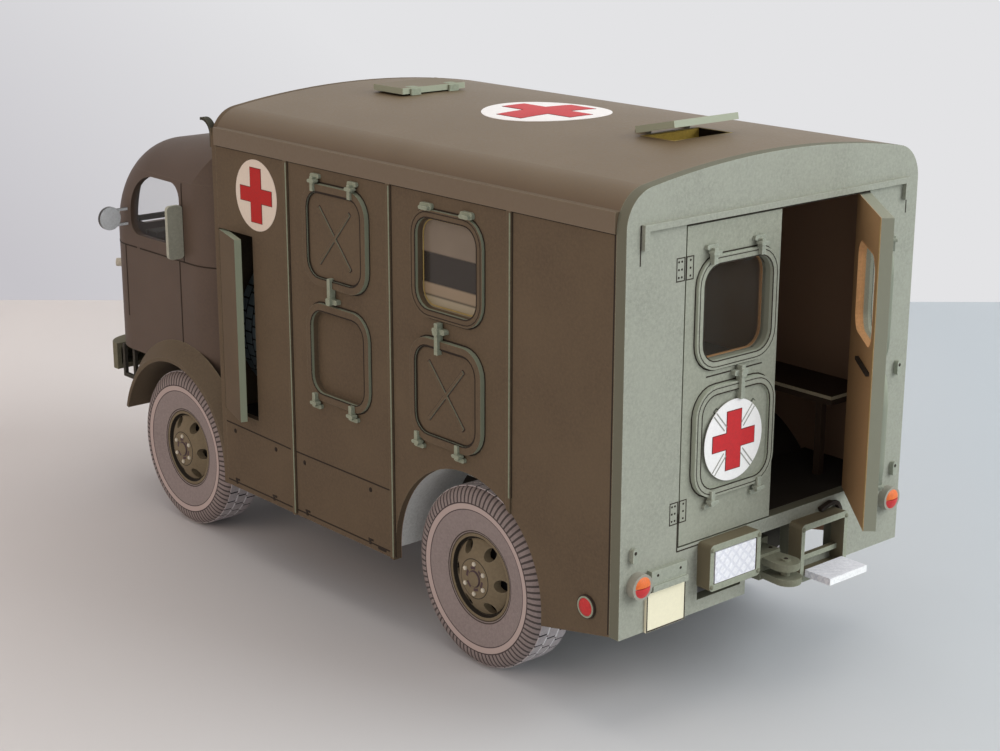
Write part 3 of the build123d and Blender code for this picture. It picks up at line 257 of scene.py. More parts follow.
def row_tree():
    """Domed heads on every point of a mesh, each turned to the point's own aim."""
    sockets = {"Points": "Geometry", "Head radius": "Float", "Head height": "Float", "Material": "Material"}
    tree, given = node_group("rivet heads on points", sockets, "Heads")
    ball = add(tree, "GeometryNodeMeshUVSphere", {"Segments": 10, "Rings": 6, "Radius": 1.0})
    size = add(tree, "CombineXYZ", given["Head radius"], given["Head radius"], given["Head height"])
    head = add(tree, "GeometryNodeTransform", {"Geometry": ball, "Scale": size})
    aim = add(tree, "GeometryNodeInputNamedAttribute", {"Name": "aim"}, data_type="FLOAT_VECTOR")
    turn = add(tree, "FunctionNodeAlignRotationToVector", {"Vector": aim}, axis="Z")
    return repeat(tree, given["Points"], head, turn, given["Material"], smooth=True)


rivet_heads = row_tree()


def rivets(name, points, radius, height, material, slot, body="truck"):
    """points is a list of (x, y, z, aim) in mm."""
    mesh = bpy.data.meshes.new(name)
    mesh.from_pydata([[c * MM for c in p[:3]] for p in points], [], [])
    aims = mesh.attributes.new("aim", "FLOAT_VECTOR", "POINT")
    aims.data.foreach_set("vector", [c for p in points for c in p[3]])
    heads = grown(mesh, rivet_heads, {"Head radius": radius * MM, "Head height": height * MM}, material)
    return seat(heads, name, slot, body)


# Nuts along the rails, clear of the wheel arches, printed dots built up as small heads
NUT_X = [x for x in range(-56, 72, 8) if all(abs(x - axle) > ARCH_CLEAR for axle in AXLE_X.values())]
rail_nuts = [(x, side * RAIL_Y, z, (0, side, 0)) for side in (1, -1) for x in NUT_X for z in NUTS_Z]
rivets("rail_rivets", rail_nuts, 0.28, 0.16, chassis_ink, "chassis_card")

# Wheels: each tyre is a stack of card rings wrapped in a printed tread strip, its outer wall
# dished in to the rim, warm grey with a light ring and notched shoulders. The wheel discs are
# pressed olive card, domed outward, with six holes, six pale wheel nuts and a hub cap.
TYRE_R, TYRE_HALF, TYRE_MID_Y, RIM_R, SHOULDER_R, DISH = 14.56, 4.25, 25.25, 7.2, 11.66, 1.0
HOLES, HOLES_R, NUTS, NUTS_R, NUTS_FACE, TREAD_BLOCKS = 6, 5.1, 6, 2.45, 4.36, 40


def ring_tree():
    """Repeats an item round the Z axis: the item's X points outward and its Y along the rim."""
    sockets = {"Item": "Geometry", "Count": "Int", "Radius": "Float", "Offset": "Float", "Phase": "Float"}
    tree, given = node_group("items round an axle", {**sockets, "Material": "Material"}, "Ring")
    points = add(tree, "GeometryNodeMeshLine", {"Count": given["Count"]}, mode="OFFSET")
    turn = add(tree, "Math", add(tree, "GeometryNodeInputIndex"), given["Phase"], operation="ADD")
    share = add(tree, "Math", turn, given["Count"], operation="DIVIDE")
    angle = add(tree, "Math", share, 2 * pi, operation="MULTIPLY")
    reach = []
    for part in ("COSINE", "SINE"):
        along = add(tree, "Math", angle, operation=part)
        reach.append(add(tree, "Math", along, given["Radius"], operation="MULTIPLY"))
    spot = add(tree, "CombineXYZ", *reach, given["Offset"])
    row = add(tree, "GeometryNodeSetPosition", {"Geometry": points, "Position": spot})
    rotation = add(tree, "FunctionNodeEulerToRotation", add(tree, "CombineXYZ", {2: angle}))
    return repeat(tree, row, given["Item"], rotation, given["Material"])


round_the_axle = ring_tree()


def block(depth, length, width, chamfer=0.0):
    """A small block with chamfered corners, its sizes in mm along X, Y and Z."""
    shape = bmesh.new()
    bmesh.ops.create_cube(shape, size=1.0)
    bmesh.ops.scale(shape, vec=(depth * MM, length * MM, width * MM), verts=shape.verts)
    if chamfer:
        upright = [e for e in shape.edges if abs((e.verts[0].co - e.verts[1].co).x) > 1e-7]
        bmesh.ops.bevel(shape, geom=upright, offset=chamfer * MM, segments=1, affect="EDGES")
    return mesh_of(shape)


def nut(radius, height):
    """A six-sided wheel nut with a chamfered face, along Z."""
    shape = bmesh.new()
    size = radius * MM
    bmesh.ops.create_cone(shape, cap_ends=True, segments=6, radius1=size, radius2=size, depth=height * MM)
    top = [e for e in shape.edges if all(v.co.z > 0 for v in e.verts)]
    bmesh.ops.bevel(shape, geom=top, offset=size * 0.25, segments=1, affect="EDGES")
    return mesh_of(shape)


def lathe(profile, steps=96):
    """A closed outline of (along, radius) points in mm, turned about Z."""
    shape = bmesh.new()
    rings = []
    for n in range(steps):
        a = 2 * pi * n / steps
        rings.append([shape.verts.new((r * cos(a) * MM, r * sin(a) * MM, z * MM)) for z, r in profile])
    for ring, ahead in zip(rings, rings[1:] + rings[:1]):
        for k in range(len(profile)):
            m = (k + 1) % len(profile)
            if profile[k][1] or profile[m][1]:
                shape.faces.new((ring[k], ring[m], ahead[m], ahead[k]))
    bmesh.ops.remove_doubles(shape, verts=shape.verts, dist=1e-7)
    bmesh.ops.recalc_face_normals(shape, faces=shape.faces)
    return mesh_of(shape)


def pierced(mesh, cutter):
    """The mesh with the cutter's volume taken out."""
    holder, tool = placed("holder", mesh), placed("tool", cutter)
    bite = holder.modifiers.new("bite", "BOOLEAN")
    bite.operation, bite.solver, bite.object = "DIFFERENCE", "EXACT", tool
    result = baked(holder)
    bpy.data.objects.remove(tool)
    return result


def joined(meshes, place, ink=None, smooth=None):
    """Several meshes as one, moved to their place, in one ink where it is given; smooth is the
    angle below which it shades on."""
    shape = bmesh.new()
    for mesh in meshes:
        mesh.transform(place)
        shape.from_mesh(mesh)
    made = mesh_of(shape, "joined")
    for material in [ink] if ink else meshes[0].materials:
        made.materials.append(material)
    if smooth:
        made.polygons.foreach_set("use_smooth", [True] * len(made.polygons))
        made.set_sharp_from_angle(angle=radians(smooth))
    return made


tread_ink = printed_card("card tread strip printed lilac grey", "#b5aeb0", "#c2bbbd", "#dcd6d7", rub=0.5)
stripe_ink = printed_card("white stripe of the tread print", "#e9e6e8", "#efecee", "#f6f4f5", rub=0.2)
tick_ink = printed_card("black tick of the tread print", "#2b282a", "#353234", "#454244", rub=0.1)
nut_ink = printed_card("pale card punchings for wheel nuts", "#cbc5b4", "#d6d1c2", "#e4dfd2", rub=0.3)
bend = [n * pi / 12 for n in range(7)]
shoulder = [(TYRE_HALF - 1.6 * (1 - sin(a)), SHOULDER_R + (TYRE_R - SHOULDER_R) * cos(a)) for a in bend]
tyre_profile = [(-z, r) for z, r in shoulder[::-1]] + shoulder
tyre_profile += [(TYRE_HALF - DISH, RIM_R), (-TYRE_HALF, RIM_R)]
disc_front = [
    (3.2, RIM_R), (3.2, 6.55), (2.45, 6.3), (2.8, 5.85), (3.5, 4.75), (4.0, 3.85),
    (4.24, 3.35), (4.3, 3.1), (4.3, 1.35), (4.52, 1.22), (4.6, 0.95), (4.6, 0.0),
]
disc_back = [
    (3.35, 0.0), (3.35, 1.05), (-3.6, 1.05), (-3.6, 3.0), (3.0, 3.0),
    (1.65, 5.9), (1.65, 6.3), (-TYRE_HALF, 6.3), (-TYRE_HALF, RIM_R),
]
hole_drill = [(1.35, 1.05), (5.2, 1.05), (5.2, 0.0), (1.35, 0.0)]
# A black ring behind the disc, seen through its holes: a dark sheet standing for the shade inside the wheel
shade_behind_holes = [(0.9, 2.9), (0.9, 6.4), (1.3, 6.4), (1.3, 2.9)]


def tread_rows(ink, reach):
    """Three staggered rows of tread blocks, then the white stripes and the black ticks between
    them: each size is laid in rows of (offset, phase)."""
    for size, paint, rows in (
        ((0.16, 1.95, 1.7, 0.12), ink, ((-2.1, 0.0), (0.0, 0.5), (2.1, 0.0))),
        ((0.12, 1.85, 0.32), stripe_ink, ((-1.05, 0.25), (1.05, 0.75))),
        ((0.14, 0.34, 1.5), tick_ink, ((-2.1, 0.5), (0.0, 0.0), (2.1, 0.5))),
    ):
        made = []
        for offset, phase in rows:
            sizes = {"Count": TREAD_BLOCKS, "Radius": (TYRE_R - reach) * MM}
            sizes |= {"Offset": offset * MM, "Phase": phase}
            made.append(grown(block(*size), round_the_axle, sizes, paint))
        yield made


def wheel(label, place, body, wall_ink, disc_ink):
    """One wheel, made along Z and moved by place."""
    tyre = joined([lathe(tyre_profile)], place, wall_ink, smooth=40)
    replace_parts(seat(tyre, f"tyre_rings_{label}", "tyre_card", body), f"tyre_{label}")
    for part, rows in zip(("blocks", "stripes", "ticks"), tread_rows(tread_ink, 0.03)):
        seat(joined(rows, place), f"tread_{part}_{label}", "tyre_card", body)
    drills = grown(lathe(hole_drill, 20), round_the_axle, {"Count": HOLES, "Radius": HOLES_R * MM}, disc_ink)
    disc = joined([pierced(lathe(disc_front + disc_back), drills)], place, disc_ink, smooth=32)
    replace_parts(seat(disc, f"wheel_disc_{label}", "rim_card", body), f"rim_{label}")
    seat(joined([lathe(shade_behind_holes)], place, tick_ink), f"wheel_hole_shade_sheet_{label}", "rim_card", body)
    sizes = {"Count": NUTS, "Radius": NUTS_R * MM, "Offset": NUTS_FACE * MM, "Phase": 0.5}
    nuts = grown(nut(0.38, 0.5), round_the_axle, sizes, nut_ink)
    seat(joined([nuts], place), f"wheel_nuts_{label}", "rim_card", body)


WALL_RINGS = (
    (11.55, 0.44, "#b7a7a2"), (12.1, 0.1, "#4a4040"), (11.02, 0.08, "#54494a"), (7.42, 0.1, "#463d38")
)
WALL_TEETH = ((88, 12.2, 14.52, 0.36, "#4c4544"),)
# The dark ring at 6.3 mm is painted shade in the groove round the disc; the other rings are printed lines
DISC_RINGS_AND_GROOVE_SHADE = ((6.3, 0.24, "#2b2620"), (7.1, 0.12, "#453c30"), (3.2, 0.08, "#3b342a"), (1.3, 0.12, "#4a3a3e"))
DISC_TEETH = ((6, 1.55, 2.0, 0.6, "#503f42"),)
for end, x in AXLE_X.items():
    centre = (x, 0.0, AXLE_Z)
    wall_marks = printed(ACROSS_AXLE, rings=WALL_RINGS, teeth=WALL_TEETH, centre=centre)
    wall_ink = printed_card(
        f"card tyre rings printed warm grey {end}", "#8d8280", "#988d8a", "#b7aca8", rub=0.25,
        marks=wall_marks,
    )
    disc_marks = printed(ACROSS_AXLE, rings=DISC_RINGS_AND_GROOVE_SHADE, teeth=DISC_TEETH, centre=centre)
    disc_ink = printed_card(
        f"pressed olive card wheel disc {end}", "#766a54", "#827660", "#a69d88", rub=0.4, rough=0.72,
        marks=disc_marks,
    )
    for hand, side in (("left", 1), ("right", -1)):
        spot = Vector((x, side * TYRE_MID_Y, AXLE_Z)) * MM
        place = Matrix.Translation(spot) @ Matrix.Rotation(-side * pi / 2, 4, "X")
        wheel(f"{end}_{hand}", place, f"wheel_{end}_{hand}", wall_ink, disc_ink)

# Spare wheel in its dark bay behind the side hatch, standing across the vehicle. Only its tread
# shows through the hatch, near black with a faint bluish print.
SPARE = (28.26, 14.84, 41.96)
dress(printed_card("card tyre printed near black", "#1b1d1e", "#272b2d", "#50575a", rub=0.3), "spare_tyre")
dress(printed_card("dark olive card rim", "#3f3a2f", "#4a4538", "#6b6452"), "spare_rim")
dress(printed_card("near black printed bay card", "#1b1a18", "#24221f", "#4a4640", rub=0.3), "spare_bay")
spare_tread = printed_card("spare tread print, blue-grey", "#6f7c80", "#839094", "#9aa5a8", rub=0.3)
spare_place = Matrix.Translation(Vector(SPARE) * MM) @ Matrix.Rotation(pi / 2, 4, "Y")
seat(joined(next(tread_rows(spare_tread, 0.02)), spare_place), "spare_tread_blocks", "tyre_card")

# Box body: side walls of one sheet of olive-brown printed card with glued-on ribs and an eave
# strip, cut edges touched in with pale paint that also stands for a painted highlight of the
# window light. Locker doors, screws and catches are printed and laid here as slips of paper
# thickness, with painted shadow lines beside the ribs.
SIDE = ("#5f5140", "#6b5c48")
SIDE_Y, INNER_Y, HOOK_X, PRINT, SUNK = 31.4, 30.3, 34.98, 0.035, -0.03
olive = dict(cut_edge="#8d8c76", rub=0.35, rough=0.82)
# The walls' inner faces are unprinted card, tan
inner_tan = printed(LEFT, [(INNER_Y - CRISP, INNER_Y + CRISP, 1.0, "#94745c")])
side_ink = printed_card("matt card printed olive brown", *SIDE, marks=inner_tan, **olive)
dress(side_ink, "box_side_left", "box_side_right")
# The strap hooks, which stand forward of the front wall, are printed dark
dark_hooks = printed(FORWARD, [(HOOK_X + CRISP, HOOK_X - CRISP, 1.0, "#3b3a30")])
dress(
    printed_card("olive brown front wall with dark hooks", *SIDE, marks=dark_hooks, **olive), "box_front_wall"
)
# The flap's cut edges are touched in pale green, which also stands for a painted highlight of the window
# light on them
flap_ink = printed_card("olive brown flap with a painted edge", *SIDE, cut=(LEFT, "#97a18c"), **olive)
dress(flap_ink, "spare_hatch_flap")
line_ink = printed_card("dark brown printed line", "#2a221b", "#362c22", "#3c3228", rub=0.1)
rib_edge_paint_and_highlight_ink = printed_card("pale green rib edge, touched in and painted as highlight", "#7f8672", "#8d9480", "#a9af9a", rub=0.2)
trim_ink = printed_card("grey-green card for small fittings", "#8d9482", "#9da491", "#bcc2ae", rub=0.5)


def plane(origin, along, up, out):
    """A flat face: u runs along it, v up it and w out of it, in mm from origin."""
    start, axes = Vector(origin), Matrix((along, up, out)).transposed()
    return lambda u, v, w: (start + axes @ Vector((u, v, w))) * MM


def side_face(side, y=SIDE_Y):
    return plane((0, side * y, 0), FORWARD, UP, (0, side, 0))


def back_face(x):
    return plane((x, 0, 0), LEFT, UP, BACK)


def plate(shape, face, outline, depth, lift=SUNK, hole=None):
    """A cut-out of card on a face: outline and hole are points in mm, standing depth proud."""
    loops = []
    for loop in (outline, hole) if hole else (outline,):
        loops.append([[shape.verts.new(face(u, v, w)) for u, v in loop] for w in (lift, depth)])
    low, high = loops[0]
    pairs = [(i, (i + 1) % len(outline)) for i in range(len(outline))]
    if hole:
        low_in, high_in = loops[1]
        for i, j in pairs:
            shape.faces.new((high[i], high[j], high_in[j], high_in[i]))
            shape.faces.new((low[j], low[i], low_in[i], low_in[j]))
            shape.faces.new((low_in[j], low_in[i], high_in[i], high_in[j]))
    else:
        shape.faces.new(high)
        shape.faces.new(low[::-1])
    for i, j in pairs:
        shape.faces.new((low[i], low[j], high[j], high[i]))


def slips(name, ink, slot, face, *cut_outs, body="truck"):
    """A piece made of cut-outs on one face, each (outline, depth) with its lift and hole."""
    shape = bmesh.new()
    for cut_out in cut_outs:
        plate(shape, face, *cut_out)
    return settle(shape, name, ink, slot, body)


def rect(u, v, width, height):
    """Corners of a rectangle by its centre."""
    return [(u + su * width / 2, v + sv * height / 2) for su, sv in ((-1, -1), (1, -1), (1, 1), (-1, 1))]


def line(start, end, width):
    """Corners of a thin strip from start to end."""
    (u0, v0), (u1, v1) = start, end
    length = sqrt((u1 - u0) ** 2 + (v1 - v0) ** 2)
    du, dv = (v0 - v1) / length * width / 2, (u1 - u0) / length * width / 2
    return [(u0 + du, v0 + dv), (u0 - du, v0 - dv), (u1 - du, v1 - dv), (u1 + du, v1 + dv)]


def rounded(u, v, width, height, corner, steps=7):
    """Points round a rectangle with rounded corners, anticlockwise."""
    points = []
    for n, (su, sv) in enumerate(((1, -1), (1, 1), (-1, 1), (-1, -1))):
        mid_u, mid_v = u + su * (width / 2 - corner), v + sv * (height / 2 - corner)
        for step in range(steps):
            angle = -pi / 2 + (n + step / (steps - 1)) * pi / 2
            points.append((mid_u + corner * cos(angle), mid_v + corner * sin(angle)))
    return points


on_left, on_right = side_face(1), side_face(-1)
EAVE_Z, RIB_PROUD, RIBS = 74.3, 0.35, ((12.46, 13.4), (-14.84, 13.4), (-42.94, 31.2))
RIB_TOP = EAVE_Z - 0.1
PANEL_LINES = (
    ((33.3, 24.9), (12.95, 24.5)), ((12.0, 24.5), (-14.35, 24.5)),
    ((33.3, 14.0), (12.95, 14.0)), ((12.0, 14.0), (-13.9, 14.0)),
    ((33.3, RIB_TOP), (-64.3, RIB_TOP)), ((-64.2, 16.3), (-64.2, RIB_TOP)),
)
LOCKER_SCREWS = ((30.6, 23.6), (18.0, 23.3), (9.5, 23.1), (-8.9, 23.2))
for hand, face, side in (("left", on_left, 1), ("right", on_right, -1)):
    lines = [(line(start, end, 0.24), PRINT) for start, end in PANEL_LINES]
    # Dark lines beside each rib are painted shadow of the raised rib, laid with the printed panel lines
    for x, low in RIBS:
        lines += [(line((x + edge, low), (x + edge, RIB_TOP), 0.16), PRINT) for edge in (-0.55, 0.55)]
    for x in (30.4, 18.8, 8.9, -8.8):
        lines += [(rect(x, 14.55, 1.3, 0.35), PRINT * 1.6), (rect(x + 0.2, 14.15, 0.5, 0.9), PRINT * 2.2)]
    lines.append((rounded(-11.8, 13.75, 2.2, 0.55, 0.25), PRINT * 1.6))
    slips(f"side_print_and_rib_shade_{hand}", line_ink, "side_card", face, *lines)
    # Pale green strips on the ribs' rear edges: the touched-in cut edge, with a painted highlight where the
    # window light catches it
    edges = []
    for x, low in RIBS:
        edge = line((x - 0.28, low), (x - 0.28, EAVE_Z - 0.3), 0.3)
        edges.append((edge, RIB_PROUD + PRINT, RIB_PROUD - 0.05))
    slips(f"rib_edge_highlights_{hand}", rib_edge_paint_and_highlight_ink, "side_card", face, *edges)
    screws = [(x, side * SIDE_Y, z, (0, side, 0)) for x, z in LOCKER_SCREWS]
    rivets(f"locker_screws_{hand}", screws, 0.42, 0.16, line_ink, "side_card")

# Window frames, covers and their clips: layers of thick card cut as rings and plates, with
# strap clips at the hinge edge and one bar latch to each, pale grey-green where they are cut:
# the touched-in card edge with a painted highlight of the window light on it.
fitting_ink = printed_card(
    "olive brown card with pale green cut edges", *SIDE, "#9aa08a", rub=0.3, cut=(LEFT, "#8b927e")
)
dress(fitting_ink, "window_frames", "window_covers")
brace_ink = printed_card("purple-brown printed brace", "#3f302c", "#493834", "#54443e", rub=0.1)
bare_ink = printed_card("yellowish bare card line", "#a58f55", "#b29c62", "#c0ab72", rub=0.2)
FIT_W, FIT_H, FIT_R, BAND, BRACE_TILT, BRACE_HALF = 16.8, 16.6, 4.2, 1.3, radians(48), 0.34
FRONT_BAY, REAR_BAY, UPPER, LOWER = -1.19, -28.89, 63.5, 43.8
RING_PROUD, COVER_PROUD, BRACE_PROUD = 0.5, 0.8, 0.4
CLIPS_Z, PINS_Z, FEET_Z = 71.9, 72.2, 35.4


def band(u, v, inset, width, low, high):
    """A thin ring that follows a fitting's outline, inset mm inside its edge."""
    w, h, r = FIT_W - 2 * inset, FIT_H - 2 * inset, max(FIT_R - inset, 0.3)
    inner = rounded(u, v, w - 2 * width, h - 2 * width, max(r - width, 0.2))
    return rounded(u, v, w, h, r), high, low, inner


def turned(u, v, tilt, forward, aside):
    """The point forward along the line that runs through (u, v) at a tilt, and aside from it."""
    return u + forward * cos(tilt) - aside * sin(tilt), v + forward * sin(tilt) + aside * cos(tilt)


def brace_print(u, v):
    """A printed outline round each of the cover's two crossed braces."""
    half, along = BRACE_HALF, (FIT_W - 2 * BAND) * 0.43 + 0.1
    strokes = []
    for tilt, width in ((BRACE_TILT, 0.204), (-BRACE_TILT, 0.156)):
        ends = ((-along, -half), (along, -half), (along, half), (-along, half))
        corners = [turned(u, v, tilt, *end) for end in ends]
        for start, end in zip(corners, corners[1:] + corners[:1]):
            strokes.append((line(start, end, width), BRACE_PROUD + 0.03, BRACE_PROUD - 0.05))
    return strokes


def clip(u, v, down=False, low=False):
    """A strap clip over a fitting's edge: a foot plate on the wall, a strap and a rolled pin; a
    low clip is only the pin on its plate."""
    sign = -1 if down else 1
    if low:
        return [
            (rounded(u, v, 2.7, 1.1, 0.4, 3), 0.6), (rounded(u - 0.1, v - 0.1, 2.1, 0.6, 0.28, 3), 1.2, 0.4)
        ]
    foot = (rounded(u, v + sign * 1.05, 2.3, 0.75, 0.3, 3), 0.55)
    strap = (rect(u, v - sign * 0.15, 0.75, 2.3), 1.2, 0.3)
    pin = (rounded(u - 0.1, v + sign * 0.35, 1.7, 0.55, 0.26, 3), 1.45, 0.4)
    return [foot, strap, pin]


def latch(u, top, bottom, cross_z):
    """A bar latch between two fittings, with a cross plate and its knob."""
    bar = (rect(u, (top + bottom) / 2, 0.75, top - bottom), 1.3, 0.2)
    cross_plate = (rounded(u - 0.1, cross_z, 3.0, 0.8, 0.3, 3), 0.9)
    knob = (rounded(u, cross_z, 1.15, 1.15, 0.4, 3), 1.5, 0.5)
    return [bar, cross_plate, knob]


FITTINGS = (
    (FRONT_BAY, UPPER, "cover"), (REAR_BAY, LOWER, "cover"),
    (FRONT_BAY, LOWER, "ring"), (REAR_BAY, UPPER, "window"),
)
for hand, face in (("left", on_left), ("right", on_right)):
    outlines, braces, bare = [], [], []
    for u, v, kind in FITTINGS:
        rim = COVER_PROUD if kind == "cover" else RING_PROUD
        # A dark line just outside each fitting: a printed outline and painted shadow of its raised edge
        outlines.append(band(u, v, -0.28, 0.24, SUNK, PRINT))
        outlines.append(band(u, v, BAND - 0.2, 0.2, rim - 0.05, rim + 0.03))
        if kind == "cover":
            outlines.append(band(u, v, BAND + 0.05, 0.16, 0.5, 0.62))
            braces += brace_print(u, v)
        if kind == "window":
            outlines.append(band(u, v, 0.3, 0.14, rim - 0.05, rim + 0.03))
            bare.append(band(u, v, BAND + 0.28, 0.16, -0.88, -0.78))
    slips(f"fitting_print_and_edge_shadow_{hand}", line_ink, "fitting_card", face, *outlines)
    slips(f"brace_print_{hand}", brace_ink, "fitting_card", face, *braces)
    slips(f"window_bare_edge_{hand}", bare_ink, "fitting_card", face, *bare)
    clips = [clip(u, CLIPS_Z) for u in (-6.0, 3.9)] + [clip(u, PINS_Z, low=True) for u in (-33.8, -24.4)]
    clips += [clip(u, FEET_Z, down=True) for u in (-5.3, 4.7, -32.0, -22.3)]
    clips += [latch(-0.3, 56.9, 52.6, 53.1), latch(-27.5, 54.9, 50.0, 53.6)]
    slips(f"fitting_clips_{hand}", trim_ink, "fitting_card", face, *sum(clips, []))

# Rear panel and drip moulding: the same printed olive card, painted pale grey-green where the
# window light falls on the rear, as painted light; the frame's sides keep a darker grey-olive as
# painted shade. Door leaves carry a window frame and a cover, and their inner faces are bare card.
pale = dict(cut_edge="#b9bfae", rub=0.5, rough=0.8)
# These pale tones are the olive card with the window light painted into it
REAR = ("#94968a", "#9fa194")
LEAF, BARE_FROM, BARE, LEAF_EDGE = ("#919385", "#9b9d8f"), 1.78, "#ab8860", "#8a8c7c"
HINGE_X, HINGE_Y, OPEN, LEAF_THICK = -66.34, 19.9, radians(48), 1.9
dress(printed_card("matt olive card painted window-lit grey green", *REAR, cut=(FORWARD, "#6b6b5c"), **pale), "rear_frame")
dress(printed_card("olive drip strip painted window-lit grey green", *REAR, **pale), "drip_moulding")
open_aim = (cos(OPEN), sin(OPEN), 0)
bare_point = (HINGE_X + BARE_FROM * open_aim[0], -HINGE_Y + BARE_FROM * open_aim[1], 0)
for hand, name, point, aim in (
    ("left", "bare card leaf, olive print painted window-lit grey green", (HINGE_X + BARE_FROM, 0, 0), FORWARD),
    ("right", "grey green print on a bare card leaf, open", bare_point, open_aim),
):
    leaf_ink = printed_card(name, *LEAF, raw=(point, aim, BARE), cut=(aim, LEAF_EDGE), **pale)
    dress(leaf_ink, f"rear_door_{hand}")
# The door rings and plates carry the same painted window light
for hand, aim in (("left", FORWARD), ("right", open_aim)):
    ring_ink = printed_card(
        f"grey green card ring and plate {hand}", *LEAF, "#c3c8b6", rub=0.5, cut=(aim, "#a5ab9b")
    )
    dress(ring_ink, f"rear_door_{hand}_window_frame", f"rear_door_{hand}_cover")
door_fit_ink = printed_card("grey green card for door clips", "#93978a", "#a0a496", "#c3c8b6", rub=0.5)
door_brace_ink = printed_card("grey-black printed brace", "#4b4b43", "#55554c", "#66665c", rub=0.1)
reveal_ink = printed_card("bright bare card of the window reveal", "#c08e5e", "#c99a6c", "#d8b187", rub=0.2)
hollow_ink = printed_card("grey print inside the braces", "#9a9a93", "#a6a69e", "#b3b3aa", rub=0.1)
on_rear = back_face(HINGE_X)
# The right leaf's two faces, where the model has it standing open
leaf_along, leaf_out = Vector((-sin(OPEN), cos(OPEN), 0)), Vector((-cos(OPEN), -sin(OPEN), 0))
leaf_origin = Vector((HINGE_X, -HINGE_Y, 0)) + leaf_along * HINGE_Y
on_open_leaf = plane(leaf_origin, leaf_along, UP, leaf_out)
inside_leaf = plane(leaf_origin - leaf_out * LEAF_THICK, leaf_along, UP, -leaf_out)
DOOR_MID, DOOR_WINDOW_Z, DOOR_COVER_Z, HINGES_Z = 9.2, 61.0, 42.0, (68.2, 32.6)
SCREWS_Z = [z + dz for z in HINGES_Z for dz in (-1.1, 0, 1.1)]
DOORS = (("left", on_rear, 1, "rear_door_left_leaf"), ("right", on_open_leaf, -1, "rear_door_right_leaf"))


def hinge_print(u, v, width):
    """The printed outline of half a hinge."""
    return rect(u, v, width, 3.4), PRINT, SUNK, rect(u, v, width - 0.3, 3.1)


for hand, face, s, body in DOORS:
    middle = s * DOOR_MID
    prints = []
    for z, rim in ((DOOR_WINDOW_Z, RING_PROUD), (DOOR_COVER_Z, COVER_PROUD)):
        # A dark line just outside each ring and cover: a printed outline and painted shadow of its raised
        # edge
        prints.append(band(middle, z, -0.25, 0.2, SUNK, PRINT))
        for inset, width in ((BAND - 0.18, 0.18), (0.32, 0.13)):
            prints.append(band(middle, z, inset, width, rim - 0.05, rim + 0.03))
    prints += [hinge_print(s * 19.0, z, 1.5) for z in HINGES_Z]
    prints.append((line((s * 3.2, 51.75), (s * 15.0, 51.75), 0.2), PRINT))
    slips(f"door_print_{hand}", line_ink, "rear_card", face, *prints, body=body)
    slips(
        f"door_braces_{hand}", door_brace_ink, "rear_card", face, *brace_print(middle, DOOR_COVER_Z),
        body=body,
    )
    clips = [clip(s * u, 69.6) for u in (5.1, 15.0)] + [clip(s * u, 33.4, down=True) for u in (4.0, 13.9)]
    clips.append(latch(s * 8.5, 52.6, 47.6, 51.5))
    slips(f"door_clips_{hand}", door_fit_ink, "rear_card", face, *sum(clips, []), body=body)
    # Bare card in the window's reveal: a thin line on the closed leaf, the inner half on the open one
    reveal = band(middle, DOOR_WINDOW_Z, BAND - 0.02, 0.16, -1.93, -1.5 if s > 0 else -0.75)
    slips(f"door_bare_reveal_{hand}", reveal_ink, "rear_card", face, reveal, body=body)

prints = []
for s in (1, -1):
    prints += [hinge_print(s * 20.85, z, 1.7) for z in HINGES_Z]
    prints.append((line((s * 24.2, 74.9), (s * 28.3, 74.9), 0.22), PRINT))
    prints.append((line((s * 28.75, 69.8), (s * 28.75, 75.4), 0.2), PRINT))
for start, end in (
    ((-19.8, 74.25), (19.8, 74.25)), ((20.0, 26.6), (4.7, 26.6)), ((20.0, 26.6), (20.0, 32.4))
):
    prints.append((line(start, end, 0.2), PRINT))
slips("rear_print", line_ink, "rear_card", on_rear, *prints)
frame_screws = [(HINGE_X, s * y, z, BACK) for s in (1, -1) for z in SCREWS_Z for y in (20.6, 21.2)]
rivets("hinge_screws_frame", frame_screws, 0.17, 0.09, line_ink, "rear_card")
for hand, face, s, body in DOORS:
    aim = (face(0, 0, 1) - face(0, 0, 0)).normalized()
    leaf_screws = [(*(face(s * 18.9, z, 0) / MM), aim) for z in SCREWS_Z]
    rivets(f"hinge_screws_{hand}", leaf_screws, 0.17, 0.09, line_ink, "rear_card", body)

# Rope pegs on the rear panel: short standing bars with a dark eye
PEGS = ((29.1, 28.4), (-29.2, 28.4), (-28.7, 45.2))
slips(
    "rope_pegs", door_fit_ink, "rear_card", on_rear,
    *[(rounded(y, z, 0.95, 2.3, 0.4, 4), 0.8) for y, z in PEGS],
)
rivets("peg_eyes", [(HINGE_X - 0.8, y, z + 0.5, BACK) for y, z in PEGS], 0.28, 0.06, line_ink, "rear_card")
# Inside of the open leaf: a dark handle bar, and the yellow line of bare card along its free edge
handle, free_edge = rounded(-7.0, 50.6, 9.6, 0.6, 0.28, 4), line((-0.35, 27.5), (-0.35, 73.9), 0.32)
slips("inner_handle", line_ink, "rear_card", inside_leaf, (handle, 0.5), body="rear_door_right_leaf")
slips("leaf_bare_edge", bare_ink, "rear_card", inside_leaf, (free_edge, PRINT), body="rear_door_right_leaf")

# Panes: clear film glued behind the window rings, with a faint veil and a soft reflection; the side panes are
# near opaque film with the view behind them painted on.
RIPPLE = 6 * MM


